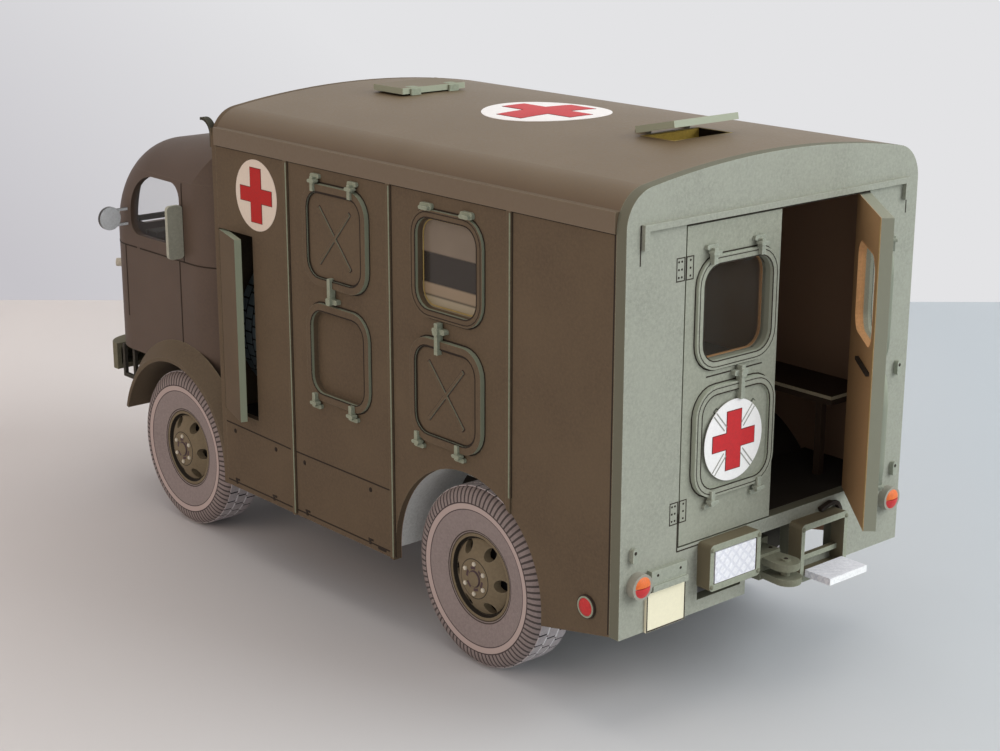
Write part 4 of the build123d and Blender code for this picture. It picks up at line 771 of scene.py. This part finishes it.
def clear_film(name, tint, veil, marks=None):
    """Thin film with a veil over what lies behind it, and soft marks in the veil."""
    film, tree = blank(name)
    place = add(tree, "TexCoord").outputs["Object"]
    ripple = add(tree, "TexNoise", {"Vector": place, "Scale": 1 / RIPPLE, "Detail": 2.0})
    colour = tone(tint, 0.78)
    for mask, over in [(ripple, tone(tint))] + (marks(tree, place) if marks else []):
        colour = add(tree, "Mix", mask, {6: colour, 7: over}, data_type="RGBA")
    haze = add(tree, "MapRange", ripple, 0.3, 0.7, 0.12, 0.2)
    looks = {"Base Color": colour, "Roughness": haze, "Alpha": veil, "Specular IOR Level": 0.3}
    add(tree, "OutputMaterial", add(tree, "BsdfPrincipled", looks))
    return film


dress(clear_film("clear acetate film", "#5e564c", 0.14), "rear_door_left_pane", "rear_door_right_pane")
dress(clear_film("clear acetate film, cab", "#a3a2a4", 0.07), "cab_glass")
# Painted light and shade: the side panes carry the lit inner wall, a dark band of painted shade and the lit
# boards below, laid in bands
PAINTED_VIEW_BANDS, SOFT = ((65.0, "#37332f"), (60.2, "#95856f"), (58.45, "#4a4338"), (58.2, "#a1977f")), 0.15
painted_view_light_and_shade = printed(UP, [(z - SOFT, z + SOFT, 1.0, ink) for z, ink in PAINTED_VIEW_BANDS])
dress(clear_film("acetate film, side, view behind painted in light and shade", "#877b6c", 0.9, painted_view_light_and_shade), "side_panes")

# Roof: one sheet rolled over formers, printed the same olive but lit from above, with a thin
# front and rear edge; two vent lids on card hinges.
EAVE_TOP_Z, STRIP_TOP_Z, SHOULDER_TOP_Z, CROWN_R, ROOF_Z = 77.3, 77.4, 81.0, 165.0, 82.6
# The eave strip has the side's brown; the shoulder above it is painted a darker warm brown as painted shade,
# where the roof turns away from the light above
eave_brown_and_shoulder_shade = [
    (EAVE_TOP_Z, SHOULDER_TOP_Z, 0.7, "#5d4a31"), (STRIP_TOP_Z - CRISP, STRIP_TOP_Z + CRISP, 1.0, SIDE[1]),
]
satin = dict(rough=0.5, gloss=0.6, marks=printed(UP, eave_brown_and_shoulder_shade))
roof_ink = printed_card(
    "satin card printed olive brown, roof sheet", "#6b5a41", "#76654d", "#a09a80", rub=0.3, **satin
)
dress(roof_ink, "box_roof")
pale_cut = dict(rough=0.55, gloss=0.5, cut=(UP, "#9aa08b"))
lid_card = printed_card(
    "olive card vent lid with pale cut edges", "#6f634c", "#7a6d57", "#a9aa94", rub=0.4, **pale_cut
)
dress(lid_card, "roof_lid_rear", "roof_lid_front")


def on_roof(u, v, w):
    """u runs forward and v to the left over the crown."""
    return Vector((u, v, ROOF_Z - CROWN_R + sqrt((CROWN_R + w) ** 2 - v * v))) * MM


level = plane((0, 0, 0), FORWARD, LEFT, UP)
lid_ink = printed_card("olive card hinge straps", "#6d6555", "#7b7362", "#a3a08b", rub=0.6)
straps = [(rounded(u, v, 2.6, 1.2, 0.3, 3), 0.45) for u in (-42.1, 21.2) for v in (-4.2, 4.2)]
slips("roof_hinge_straps", lid_ink, "roof_card", on_roof, *straps)
# Yellow bare card shows all round the cut-out under the raised rear lid
lid_low, lid_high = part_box("roof_lid_rear")
hatch = (lid_high.y - lid_low.y) / MM
bare_ring = (rect(-47.1, 0, 7.0, hatch - 1.2), PRINT, SUNK, rect(-47.1, 0, 6.5, hatch - 1.7))
slips("hatch_bare_edge", bare_ink, "roof_card", on_roof, bare_ring)
yellow_ink = printed_card("yellow bare card inside the hatch", "#c2a145", "#ccad55", "#d8bf74", rub=0.2)
slips("hatch_bare_wall", yellow_ink, "roof_card", on_roof, (rect(-43.75, -0.2, 0.3, 11.8), -0.1, -3.0))
# Two walls of the cut-out, bare card like the lit yellow one, are painted dark as painted shade
walls = (((-50.4, -6.25), (-43.9, -6.25)), ((-50.55, -6.2), (-50.55, 6.2)))
painted_shade_walls = [(line(start, end, 0.25), -0.1, -3.0) for start, end in walls]
slips("hatch_walls_painted_shade", line_ink, "roof_card", on_roof, *painted_shade_walls)
# Pale marks of the card hinges on the front lid's near edge
marks = []
for v in (-4.2, 4.2):
    marks.append((rounded(13.6, v, 1.5, 2.0, 0.4, 3), 83.89 + PRINT, 83.8))
    marks.append((rounded(12.5, v, 0.5, 2.2, 0.2, 3), 83.7, 82.6))
slips("front_lid_hinge_marks", trim_ink, "roof_card", level, *marks, body="front_roof_lid")

# Ambulance discs: white paper circles with red crosses, printed and stuck on the sides, the
# left rear door and the roof. Each cross has a thin dark red outline.
white_ink = printed_card("white paper disc", "#ebe9e8", "#f0eeed", "#f6f4f3", rub=0.2, rough=0.7, fleck=0.06)
red_ink = printed_card("red printed cross", "#be272c", "#c63438", "#d06a66", rub=0.15, rough=0.7)
red_line_ink = printed_card("thin dark red outline", "#6d2324", "#7a2d2c", "#8a4442", rub=0.1)
shaded_white_disc_ink = printed_card("white paper disc painted cream as shade", "#dccfc0", "#e2d7ca", "#ece4da", rub=0.2, rough=0.7, fleck=0.06)
shaded_red_cross_ink = printed_card("red printed cross painted deeper as shade", "#b3201f", "#bc2c2a", "#cc5c58", rub=0.15, rough=0.7)
roof_red_ink = printed_card("faded red printed cross", "#c4474b", "#cb5558", "#d88285", rub=0.15, rough=0.7)


def circle(u, v, radius, count=64):
    angles = [2 * pi * n / count for n in range(count)]
    return [(u + radius * cos(a), v + radius * sin(a)) for a in angles]


def cross(u, v, span, upright, bar):
    """Twelve corners of a cross, its upright arm and its bar of their own widths."""
    a, b, h = upright / 2, bar / 2, span / 2
    quarter = ((h, b), (a, b), (a, h))
    corners = []
    for su, sv in ((1, 1), (-1, 1), (-1, -1), (1, -1)):
        corners += [(u + su * du, v + sv * dv) for du, dv in (quarter if su * sv > 0 else quarter[::-1])]
    return corners


def sliced(shape):
    """Cuts a flat-laid sheet along the vehicle, so that it can follow the roof's crown."""
    for n in range(-12, 13):
        parts = shape.verts[:] + shape.edges[:] + shape.faces[:]
        bmesh.ops.bisect_plane(shape, geom=parts, plane_co=(0, n * MM, 0), plane_no=LEFT)
    for vert in shape.verts:
        vert.co = on_roof(*(vert.co / MM))


def disc(label, face, u, v, radius, arms, inks, body="truck", base=0.0, after=None):
    """A paper disc with a red cross of arms (span, upright, bar), its layers a paper thickness
    apart, lying base above the face."""
    inner_arms = [size - 0.24 for size in arms]
    for name, outline, ink, slot, rise in (
        ("disc", circle(u, v, radius), inks[0], "plate_card", 0.0),
        ("cross_edge", cross(u, v, *arms), red_line_ink, "lamp_card", 0.05),
        ("cross", cross(u, v, *inner_arms), inks[1], "lamp_card", 0.07),
    ):
        shape = bmesh.new()
        plate(shape, face, outline, base + rise + 0.07, base + rise + SUNK)
        if after:
            after(shape)
        settle(shape, f"{name}_{label}", ink, slot, body)


SIDE_DISC, DOOR_DISC, ROOF_DISC = (21.4, 67.2), (9.7, 41.6), (-16.1, 0.0)
# The side discs are painted in shade: their white shows cream and their red deeper than on the door
for hand, face in (("left", on_left), ("right", on_right)):
    disc(hand, face, *SIDE_DISC, 6.05, (9.4, 3.3, 2.6), (shaded_white_disc_ink, shaded_red_cross_ink))
disc(
    "door", on_rear, *DOOR_DISC, 6.1, (9.0, 3.2, 2.6), (white_ink, red_ink), "rear_door_left_leaf",
    COVER_PROUD,
)
# The cover's braces are printed on over the disc, as thin grey strokes that stop at the cross
strokes = []
for tilt in (BRACE_TILT, -BRACE_TILT, pi - BRACE_TILT, BRACE_TILT - pi):
    for aside in (-BRACE_HALF, BRACE_HALF):
        ends = [turned(*DOOR_DISC, tilt, forward, aside) for forward in (2.6, 6.0)]
        strokes.append((line(*ends, 0.16), 0.93, 0.84))
slips("disc_strokes", hollow_ink, "rear_card", on_rear, *strokes, body="rear_door_left_leaf")
disc("roof", level, *ROOF_DISC, 10.6, (16.4, 6.0, 5.0), (white_ink, roof_red_ink), after=sliced)

# Steps and towing jaw: frames folded from olive card strip, deeper than wide, with round rivets,
# and two tread plates of thick white card printed as diamond plate, one folded up between its
# posts. The jaw is laminated from rounded card plates on a block, with a pin through it.
# The frames' rear faces are painted pale grey-green as painted light from the window; their folded sides keep
# the olive card
olive_folds = dict(rub=0.6, cut=(FORWARD, "#6a624e"))
step_ink = printed_card(
    "olive strip painted window-lit grey green on its rear faces", "#8f9382", "#9a9e8d", "#b3b7a4", **olive_folds
)
jaw_ink = printed_card("olive laminated card", "#797a68", "#858675", "#a3a592", rub=0.5)
DIAMOND = 0.9 * MM


def diamond_marks(tree, place):
    """Two crossing wave prints give the faint lozenges of diamond plate."""
    masks = []
    for turn in (pi / 4, -pi / 4):
        across = add(tree, "Mapping", {"Vector": place, "Rotation": (turn, turn, turn)})
        print_size = {"Vector": across, "Scale": 0.31 / DIAMOND, "Distortion": 0.6, "Detail": 1.0}
        wave = add(tree, "TexWave", print_size, bands_direction="Z").outputs["Fac"]
        masks.append(add(tree, "MapRange", wave, 0.7, 0.9, 0.0, 0.32))
    return [(add(tree, "Math", *masks, operation="MAXIMUM"), tone("#b4b6c6"))]


tread_plate_ink = printed_card(
    "white card printed as diamond plate", "#e9e9ef", "#f0f0f4", "#f7f7f9", rub=0.4, marks=diamond_marks
)
lip_ink = printed_card("white cut edge of thick card", "#f1f1f2", "#f5f5f5", "#f9f9f9", rub=0.3)
STEP_Y, STEP_HALF, POST, STEP_DEPTH, BAR = 10.15, 5.45, 0.8, 2.6, 1.0
PLATE_HALF, PLATE_LONG, PLATE_THICK = 4.35, 4.9, 1.1
OPENING = 2 * (STEP_HALF - POST)


def frame_ring(y, low, high):
    """A step frame: a folded strip round its opening, rounded at its corners."""
    middle, height = (low + high) / 2, high - low
    outer = rounded(y, middle, 2 * STEP_HALF, height, 0.7)
    return outer, STEP_DEPTH, 0.0, rounded(y, middle, OPENING, height - 2 * BAR, 0.2)


# Right frame: a thin rail above the tread and one over it, and a bent rod over the top corner
rails = [
    (rect(-STEP_Y, 19.1, OPENING + 0.04, 0.8), 1.25, 0.4),
    (rect(-STEP_Y, 23.7, OPENING + 0.04, 0.7), 1.2, 0.4),
]
rings = [frame_ring(STEP_Y, 19.9, 27.05), frame_ring(-STEP_Y, 15.9, 25.2)]
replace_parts(slips("step_frame_strips", step_ink, "chassis_card", on_rear, *rings, *rails), "step_frames")
bends = [(-11.2, 25.7), (-13.6, 26.3), (-15.2, 26.0), (-15.9, 24.9), (-16.0, 23.2)]
rod = [(line(start, end, 0.6), 0.95, 0.2) for start, end in zip(bends, bends[1:])]
slips("step_grab_rod", line_ink, "chassis_card", on_rear, *rod)
tread = (
    rect(STEP_Y, 21.0 + PLATE_LONG / 2, 2 * PLATE_HALF, PLATE_LONG), STEP_DEPTH, STEP_DEPTH - PLATE_THICK
)
folded_up = slips("tread_plate_left", tread_plate_ink, "fitting_card", on_rear, tread, body="left_tread")
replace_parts(folded_up, "step_tread_left")
tread = (rect(-71.4, -STEP_Y, PLATE_LONG, 2 * PLATE_HALF), 17.85, 17.85 - PLATE_THICK)
folded_down = slips("tread_plate_right", tread_plate_ink, "fitting_card", level, tread, body="right_tread")
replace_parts(folded_down, "step_tread_right")
lip = (rect(-STEP_Y, 17.3, 2 * PLATE_HALF + 0.02, 1.06), PRINT)
slips("tread_lip_right", lip_ink, "fitting_card", back_face(-73.85), lip, body="right_tread")
step_rivets = []
for ys, zs in (((15.2, 5.1), (20.6, 26.3)), ((-5.1, -15.2), (16.7, 24.4))):
    step_rivets += [(HINGE_X - STEP_DEPTH, y, z, BACK) for y in ys for z in zs]
rivets("step_rivets", step_rivets, 0.36, 0.28, jaw_ink, "fitting_card")

# The jaw: two plates with round ends over a block, and the pin with its dark head
JAW_X, JAW_R, PIN_R, PIN_TOP = -69.95, 2.15, 0.7, 21.5
jaw = []
for low, high, reach in ((20.1, 21.2, 0.0), (17.9, 18.9, 0.4)):
    turns = [radians(90 + n * 12) for n in range(16)]
    end = [(JAW_X - reach + JAW_R * cos(a), JAW_R * sin(a)) for a in turns]
    jaw.append((end + [(-63.2, -1.6), (-63.2, 1.6)], high, low))
jaw += [(rect(-65.0, 0, 3.6, 4.6), 21.6, 17.6), (rect(-62.9, 0, 1.2, 6.4), 22.4, 17.4)]
jaw.append((circle(JAW_X, 0, PIN_R, 12), PIN_TOP, 17.5))
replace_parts(slips("towing_jaw", jaw_ink, "chassis_card", level, *jaw), "tow_hook")
jaw_heads = [(JAW_X, 0.0, PIN_TOP, UP)] + [(-65.6, y, 21.6, UP) for y in (-1.5, 1.5)]
rivets("jaw_pin_head", jaw_heads, 0.34, 0.14, line_ink, "chassis_card")

# Lamps and plate: pale paper cups with a domed lens, upper half amber and lower half red; red
# side reflectors with a thin ring in a dark cup; a blank cream plate under a small riveted lamp box.
dress(printed_card("pale paper lamp cup", "#918f84", "#9c9a8f", "#c9c6bc", rub=0.3, fleck=0.1), "tail_lamps")
dress(printed_card("dark card reflector ring", "#3a2f29", "#45382f", "#6b5b50", rub=0.2), "side_reflectors")
dress(
    printed_card("cream printed plate", "#ebe4c8", "#ece5ca", "#f5f1dc", rub=0.15, fleck=0.04), "number_plate"
)
amber_ink = printed_card("amber printed lens", "#d9692f", "#e07c3f", "#ec9a68", rub=0.1, rough=0.45)
lens_red = printed_card("red printed lens", "#c32f31", "#cc4141", "#dd7773", rub=0.1, rough=0.45)
LAMP_X, LAMP_Y, LAMP_Z, REFLECTOR, REFLECTOR_PROUD = -67.74, 28.1, 23.7, (-59.94, 19.3), 0.4
PLATE_MID, PLATE_PROUD = (22.3, 19.0), 0.4


def dome(shape, face, u, v, radius, height, start, steps=20):
    """Half of a shallow dome, round by half a turn from the angle start, closed below."""
    angles = [start + pi * n / steps for n in range(steps + 1)]
    levels = [(1.0, -0.05)] + [(share, height * (1 - share * share)) for share in (1.0, 0.75, 0.5, 0.25)]
    rings = []
    for share, w in levels:
        reach = radius * share
        rings.append([shape.verts.new(face(u + reach * cos(a), v + reach * sin(a), w)) for a in angles])
    bottom, top = (shape.verts.new(face(u, v, w)) for w in (-0.05, height))
    for n in range(steps):
        shape.faces.new((bottom, rings[0][n + 1], rings[0][n]))
        for lower, upper in zip(rings, rings[1:]):
            shape.faces.new((lower[n], lower[n + 1], upper[n + 1], upper[n]))
        shape.faces.new((rings[-1][n], rings[-1][n + 1], top))
    for n in (0, steps):
        shape.faces.new([bottom] + [ring[n] for ring in rings] + [top])


for label, ink, start, shift in (("amber", amber_ink, 0.0, 0.06), ("red", lens_red, pi, -0.06)):
    shape = bmesh.new()
    for s in (1, -1):
        dome(shape, back_face(LAMP_X), s * LAMP_Y, LAMP_Z + shift, 1.5, 0.4, start)
    settle(shape, f"tail_lens_{label}", ink, "lamp_card")
lenses, ring = bmesh.new(), bmesh.new()
for side in (1, -1):
    for start in (0.0, pi):
        dome(lenses, side_face(side, SIDE_Y + REFLECTOR_PROUD), *REFLECTOR, 1.35, 0.3, start)
    plate(ring, side_face(side), circle(*REFLECTOR, 1.62), 0.47, 0.35, circle(*REFLECTOR, 1.36))
settle(lenses, "side_reflector_lens", lens_red, "lamp_card")
settle(ring, "reflector_ring", trim_ink, "lamp_card")
border = (rect(*PLATE_MID, 7.9, 6.1), PRINT, SUNK, rect(*PLATE_MID, 7.5, 5.7))
slips("plate_border", line_ink, "plate_card", back_face(HINGE_X - PLATE_PROUD), border)
lamp_box = [(rect(22.3, 24.2, 7.1, 2.2), 0.9), (rect(22.3, 22.75, 7.1, 0.9), 1.3)]
slips("plate_lamp_box", door_fit_ink, "rear_card", on_rear, *lamp_box)
box_rivets = [(HINGE_X - 0.9, y, 24.5, BACK) for y in (20.0, 24.6)]
rivets("plate_lamp_rivets", box_rivets, 0.22, 0.12, line_ink, "rear_card")

# Cab: a rounded shell formed from shaped card petals, brown-olive, with doors, gutters and
# joints printed as dark lines; separate flared wings and a folded bumper.
CAB_BACK_X, CAB_LINE = 37.16, 0.25
# Painted shadow: the cab's back edge is painted darker toward the gap before the box, which shades it
painted_gap_shadow = printed(FORWARD, [(CAB_BACK_X + 0.6, CAB_BACK_X + 3.4, 0.8, "#261f18")])
cab_looks = dict(rub=0.3, rough=0.6, gloss=0.45, marks=painted_gap_shadow)
dress(
    printed_card("satin card printed olive brown, cab", "#54453a", "#605044", "#7d7864", **cab_looks),
    "cab_body", "cab_roof",
)
dress(printed_card("olive brown card wings", "#5f5343", "#6a5d4b", "#8a8470", rub=0.5), "front_wings")
dress(printed_card("grey green card bumper", "#706d5a", "#7b7865", "#9c9a86", rub=0.5), "front_bumper")
dress(printed_card("grey green card boxes", "#a9ab9c", "#b4b6a7", "#c4c6b6", rub=0.4), "signal_boxes")
# The mirrors sit in the box's shadow; their grey-blue print is painted pale as painted light
mirror_looks = dict(rub=0.9, rough=0.4, gloss=0.6, cut=(FORWARD, "#2f2b26"))
mirror_painted_light_ink = printed_card(
    "grey-blue mirror card painted pale as lit, with a dark rim", "#dfe5e9", "#e6ebee", "#2f2b26", **mirror_looks
)
dress(mirror_painted_light_ink, "mirrors")
dress(printed_card("cream lamp cups", "#c9c4b4", "#d5d1c3", "#ece9df", rub=0.3), "front_lamps")
cab_shape = bmesh.new()
for node in ("cab_body", "cab_roof"):
    cab_shape.from_mesh(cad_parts[node].data)
cab_skin = BVHTree.FromBMesh(cab_shape)
cab_shape.free()


def laid_line(shape, points, aim):
    """A printed line along points (mm) dropped on the cab's skin in the direction aim."""
    hits = [cab_skin.ray_cast(Vector(point) * MM, Vector(aim(point)))[:2] for point in points]
    hits = [hit for hit in hits if hit[0]]
    rows = []
    for n, (spot, normal) in enumerate(hits):
        ahead = hits[min(n + 1, len(hits) - 1)][0] - hits[max(n - 1, 0)][0]
        across = normal.cross(ahead).normalized() * CAB_LINE / 2 * MM
        corners = ((1, -0.04), (1, 0.06), (-1, 0.06), (-1, -0.04))
        rows.append([shape.verts.new(spot + sign * across + normal * lift * MM) for sign, lift in corners])
    for first, second in zip(rows, rows[1:]):
        for k in range(4):
            shape.faces.new((first[k], first[(k + 1) % 4], second[(k + 1) % 4], second[k]))
    shape.faces.new(rows[0][::-1])
    shape.faces.new(rows[-1])


def inward(point):
    """Aims from outside to the cab's middle line at the point's height."""
    return (Vector((55.0, 0.0, point[2])) - Vector(point)).normalized()


def sideways(point):
    return RIGHT if point[1] > 0 else LEFT


shape = bmesh.new()
for s in (1, -1):
    belt = [(37.6 + n * 0.25, s * 40, 50.5) for n in range(112)]
    laid_line(shape, belt, sideways)
    for x, z, step, count in ((51.4, 50.4, -0.6, 27), (49.8, 50.6, 0.6, 25), (70.6, 50.4, -0.6, 24)):
        laid_line(shape, [(x, s * 40, z + n * step) for n in range(count)], sideways)
front_belt = [(55 + 60 * cos(a), 60 * sin(a), 50.5) for a in [radians(-68 + n) for n in range(137)]]
laid_line(shape, front_belt, inward)
settle(shape, "cab_print", line_ink, "side_card")

# Interior: black-brown printed floor, dark brown benches with cream cut edges, and seats and
# dashboard of dark green-black card.
dress(
    printed_card("black-brown printed floor", "#2b2620", "#36302a", "#5c5348", rub=0.3), "box_floor",
    "cab_floor",
)
dress(printed_card("dark brown printed bench card", "#3f3024", "#4a3a2c", "#6c5a45", rub=0.3), "benches")
cream_edge_ink = printed_card("cream cut edge of a bench board", "#b7a98c", "#c2b598", "#d2c7ad", rub=0.2)
BENCH_BACK_X, BENCH_EDGE_Y, BENCH_Z, BOARD, SCREEN_BAR_X = -60.44, 20.7, 40.2, 0.55, 69.4
shape = bmesh.new()
for side, front_x in ((1, 21.0), (-1, 27.4)):
    plate(shape, back_face(BENCH_BACK_X), rect(side * 25.4, BENCH_Z, 9.4, BOARD), PRINT)
    bench_side = plane((0, side * BENCH_EDGE_Y, 0), FORWARD, UP, (0, -side, 0))
    plate(shape, bench_side, rect((front_x - 60.4) / 2, BENCH_Z, front_x + 60.4, BOARD), PRINT)
settle(shape, "bench_edges", cream_edge_ink, "interior_card")
# A bar across the cab behind the windscreen, seen through the side windows
bar_ink = printed_card("dark green card bar", "#3c4640", "#47514a", "#6b746c", rub=0.3)
behind_screen = plane((SCREEN_BAR_X, 0, 0), LEFT, UP, FORWARD)
slips("windscreen_bar", bar_ink, "interior_card", behind_screen, (rect(0, 55.3, 52.0, 1.0), 0.8, 0.0))
dress(
    printed_card("dark green-black card seats", "#33332b", "#3f3f35", "#6c6a5a", rub=0.5), "seats",
    "dashboard",
)

# Studio: a pale floor and a wall a little way behind, soft daylight from behind and the right
# of the vehicle, and the camera where the photograph was taken.
azimuth, elevation, roll = radians(-41.068), radians(16.134), radians(0.12)
camera_place = Vector((-239.59, 204.62, 125.77)) * MM
look = Vector((cos(azimuth) * cos(elevation), sin(azimuth) * cos(elevation), -sin(elevation)))
away = Vector((cos(azimuth), sin(azimuth), 0))
right = Vector((sin(azimuth), -cos(azimuth), 0))
FLOOR_Z, FLOOR_HALF, WALL_AWAY, WALL_HALF, WALL_TOP, CORNER_R = -0.1 * MM, 3, 0.53, 1.5, 1.2, 0.02


def pale_paper(name, near, far, turn, low, high, seen=False):
    """Stage paper with the room's light painted across it as a tone gradient, warmer on the left and
    cooler on the right; where seen is set, the camera, gloss and film show it at that tone, whatever light
    falls on it."""
    paper, tree = blank(name)
    place = add(tree, "TexCoord").outputs["Object"]
    across = add(tree, "VectorMath", place, turn, operation="DOT_PRODUCT")
    share = add(tree, "MapRange", across, low, high, 0.0, 1.0)
    mixed = add(tree, "Mix", share, {6: tone(near), 7: tone(far)}, data_type="RGBA")
    looks = {"Base Color": mixed, "Roughness": 0.9, "Specular IOR Level": 0.1}
    shown = add(tree, "BsdfPrincipled", looks)
    if seen:
        path = add(tree, "LightPath").outputs
        through = path["Is Camera Ray"]
        for ray in ("Is Glossy Ray", "Is Transmission Ray"):
            through = add(tree, "Math", through, path[ray], operation="MAXIMUM")
        glow = add(tree, "Emission", {"Color": mixed, "Strength": 1.0})
        shown = add(tree, "MixShader", through, shown, glow)
    back = add(tree, "NewGeometry").outputs["Backfacing"]
    both = add(tree, "MixShader", back, shown, add(tree, "BsdfTransparent"))
    add(tree, "OutputMaterial", both)
    return paper


def stage_sheet(name, corners, faces, material):
    mesh = bpy.data.meshes.new(name)
    mesh.from_pydata(corners, [], faces)
    mesh.materials.append(material)
    made = placed(name, mesh)
    return mesh


floor_paper = pale_paper("pale floor paper", "#d9d4d2", "#b7bec4", right, -0.12, 0.12)
corners = [(x * FLOOR_HALF, y * FLOOR_HALF, FLOOR_Z) for x, y in ((-1, -1), (1, -1), (1, 1), (-1, 1))]
stage_sheet("floor", corners, [(0, 1, 2, 3)], floor_paper)
wall_foot = camera_place + away * WALL_AWAY
wall_foot.z = FLOOR_Z
curve = [n * pi / 16 for n in range(9)]
profile = [(-CORNER_R * (1 - sin(a)), CORNER_R * (1 - cos(a))) for a in curve] + [(0.0, WALL_TOP)]
spots = []
for reach in (-WALL_HALF, WALL_HALF):
    spots += [wall_foot + away * along + Vector((0, 0, rise)) + right * reach for along, rise in profile]
count = len(profile)
wall_paper = pale_paper(
    "pale wall paper", "#c6c4c9", "#e3e3e5", right + Vector((0, 0, 1.2)), -0.13, 0.04, seen=True
)
wall = stage_sheet(
    "wall", spots, [(n, n + count, n + count + 1, n + 1) for n in range(count - 1)], wall_paper
)
wall.polygons.foreach_set("use_smooth", [True] * len(wall.polygons))

scene = bpy.context.scene
camera = placed("camera", bpy.data.cameras.new("camera"))
camera.data.sensor_width, camera.data.lens = 36.0, 36.0 * 1.879
camera.data.clip_start, camera.data.clip_end = 0.01, 20
turned_to = look.to_track_quat("-Z", "Y").to_matrix().to_4x4() @ Matrix.Rotation(roll, 4, "Z")
camera.matrix_world = Matrix.Translation(camera_place) @ turned_to
scene.camera = camera


def soft_lamp(name, place, size, power, colour):
    lamp = bpy.data.lights.new(name, "AREA")
    lamp.shape, lamp.size, lamp.size_y, lamp.energy = "RECTANGLE", size, size, power
    lamp.color = tone(colour)[:3]
    spot = Vector(place)
    aim = (Vector((0, 0, 0.04)) - spot).to_track_quat("-Z", "Y").to_matrix().to_4x4()
    placed(name, lamp).matrix_world = Matrix.Translation(spot) @ aim


soft_lamp("window_light", (-0.62, -0.42, 0.42), 0.6, 5.6, "#f6fbfb")
soft_lamp("room_fill", (0.1, 0.9, 0.34), 0.9, 2.3, "#ffdabd")
soft_lamp("ceiling", (0.0, -0.1, 1.1), 0.9, 3.3, "#fff6ea")
world = bpy.data.worlds.new("room")
world.use_nodes = True
world.node_tree.nodes["Background"].inputs["Color"].default_value = tone("#e4e4e6")
world.node_tree.nodes["Background"].inputs["Strength"].default_value = 0.68
scene.world = world
scene.view_settings.view_transform = "Standard"
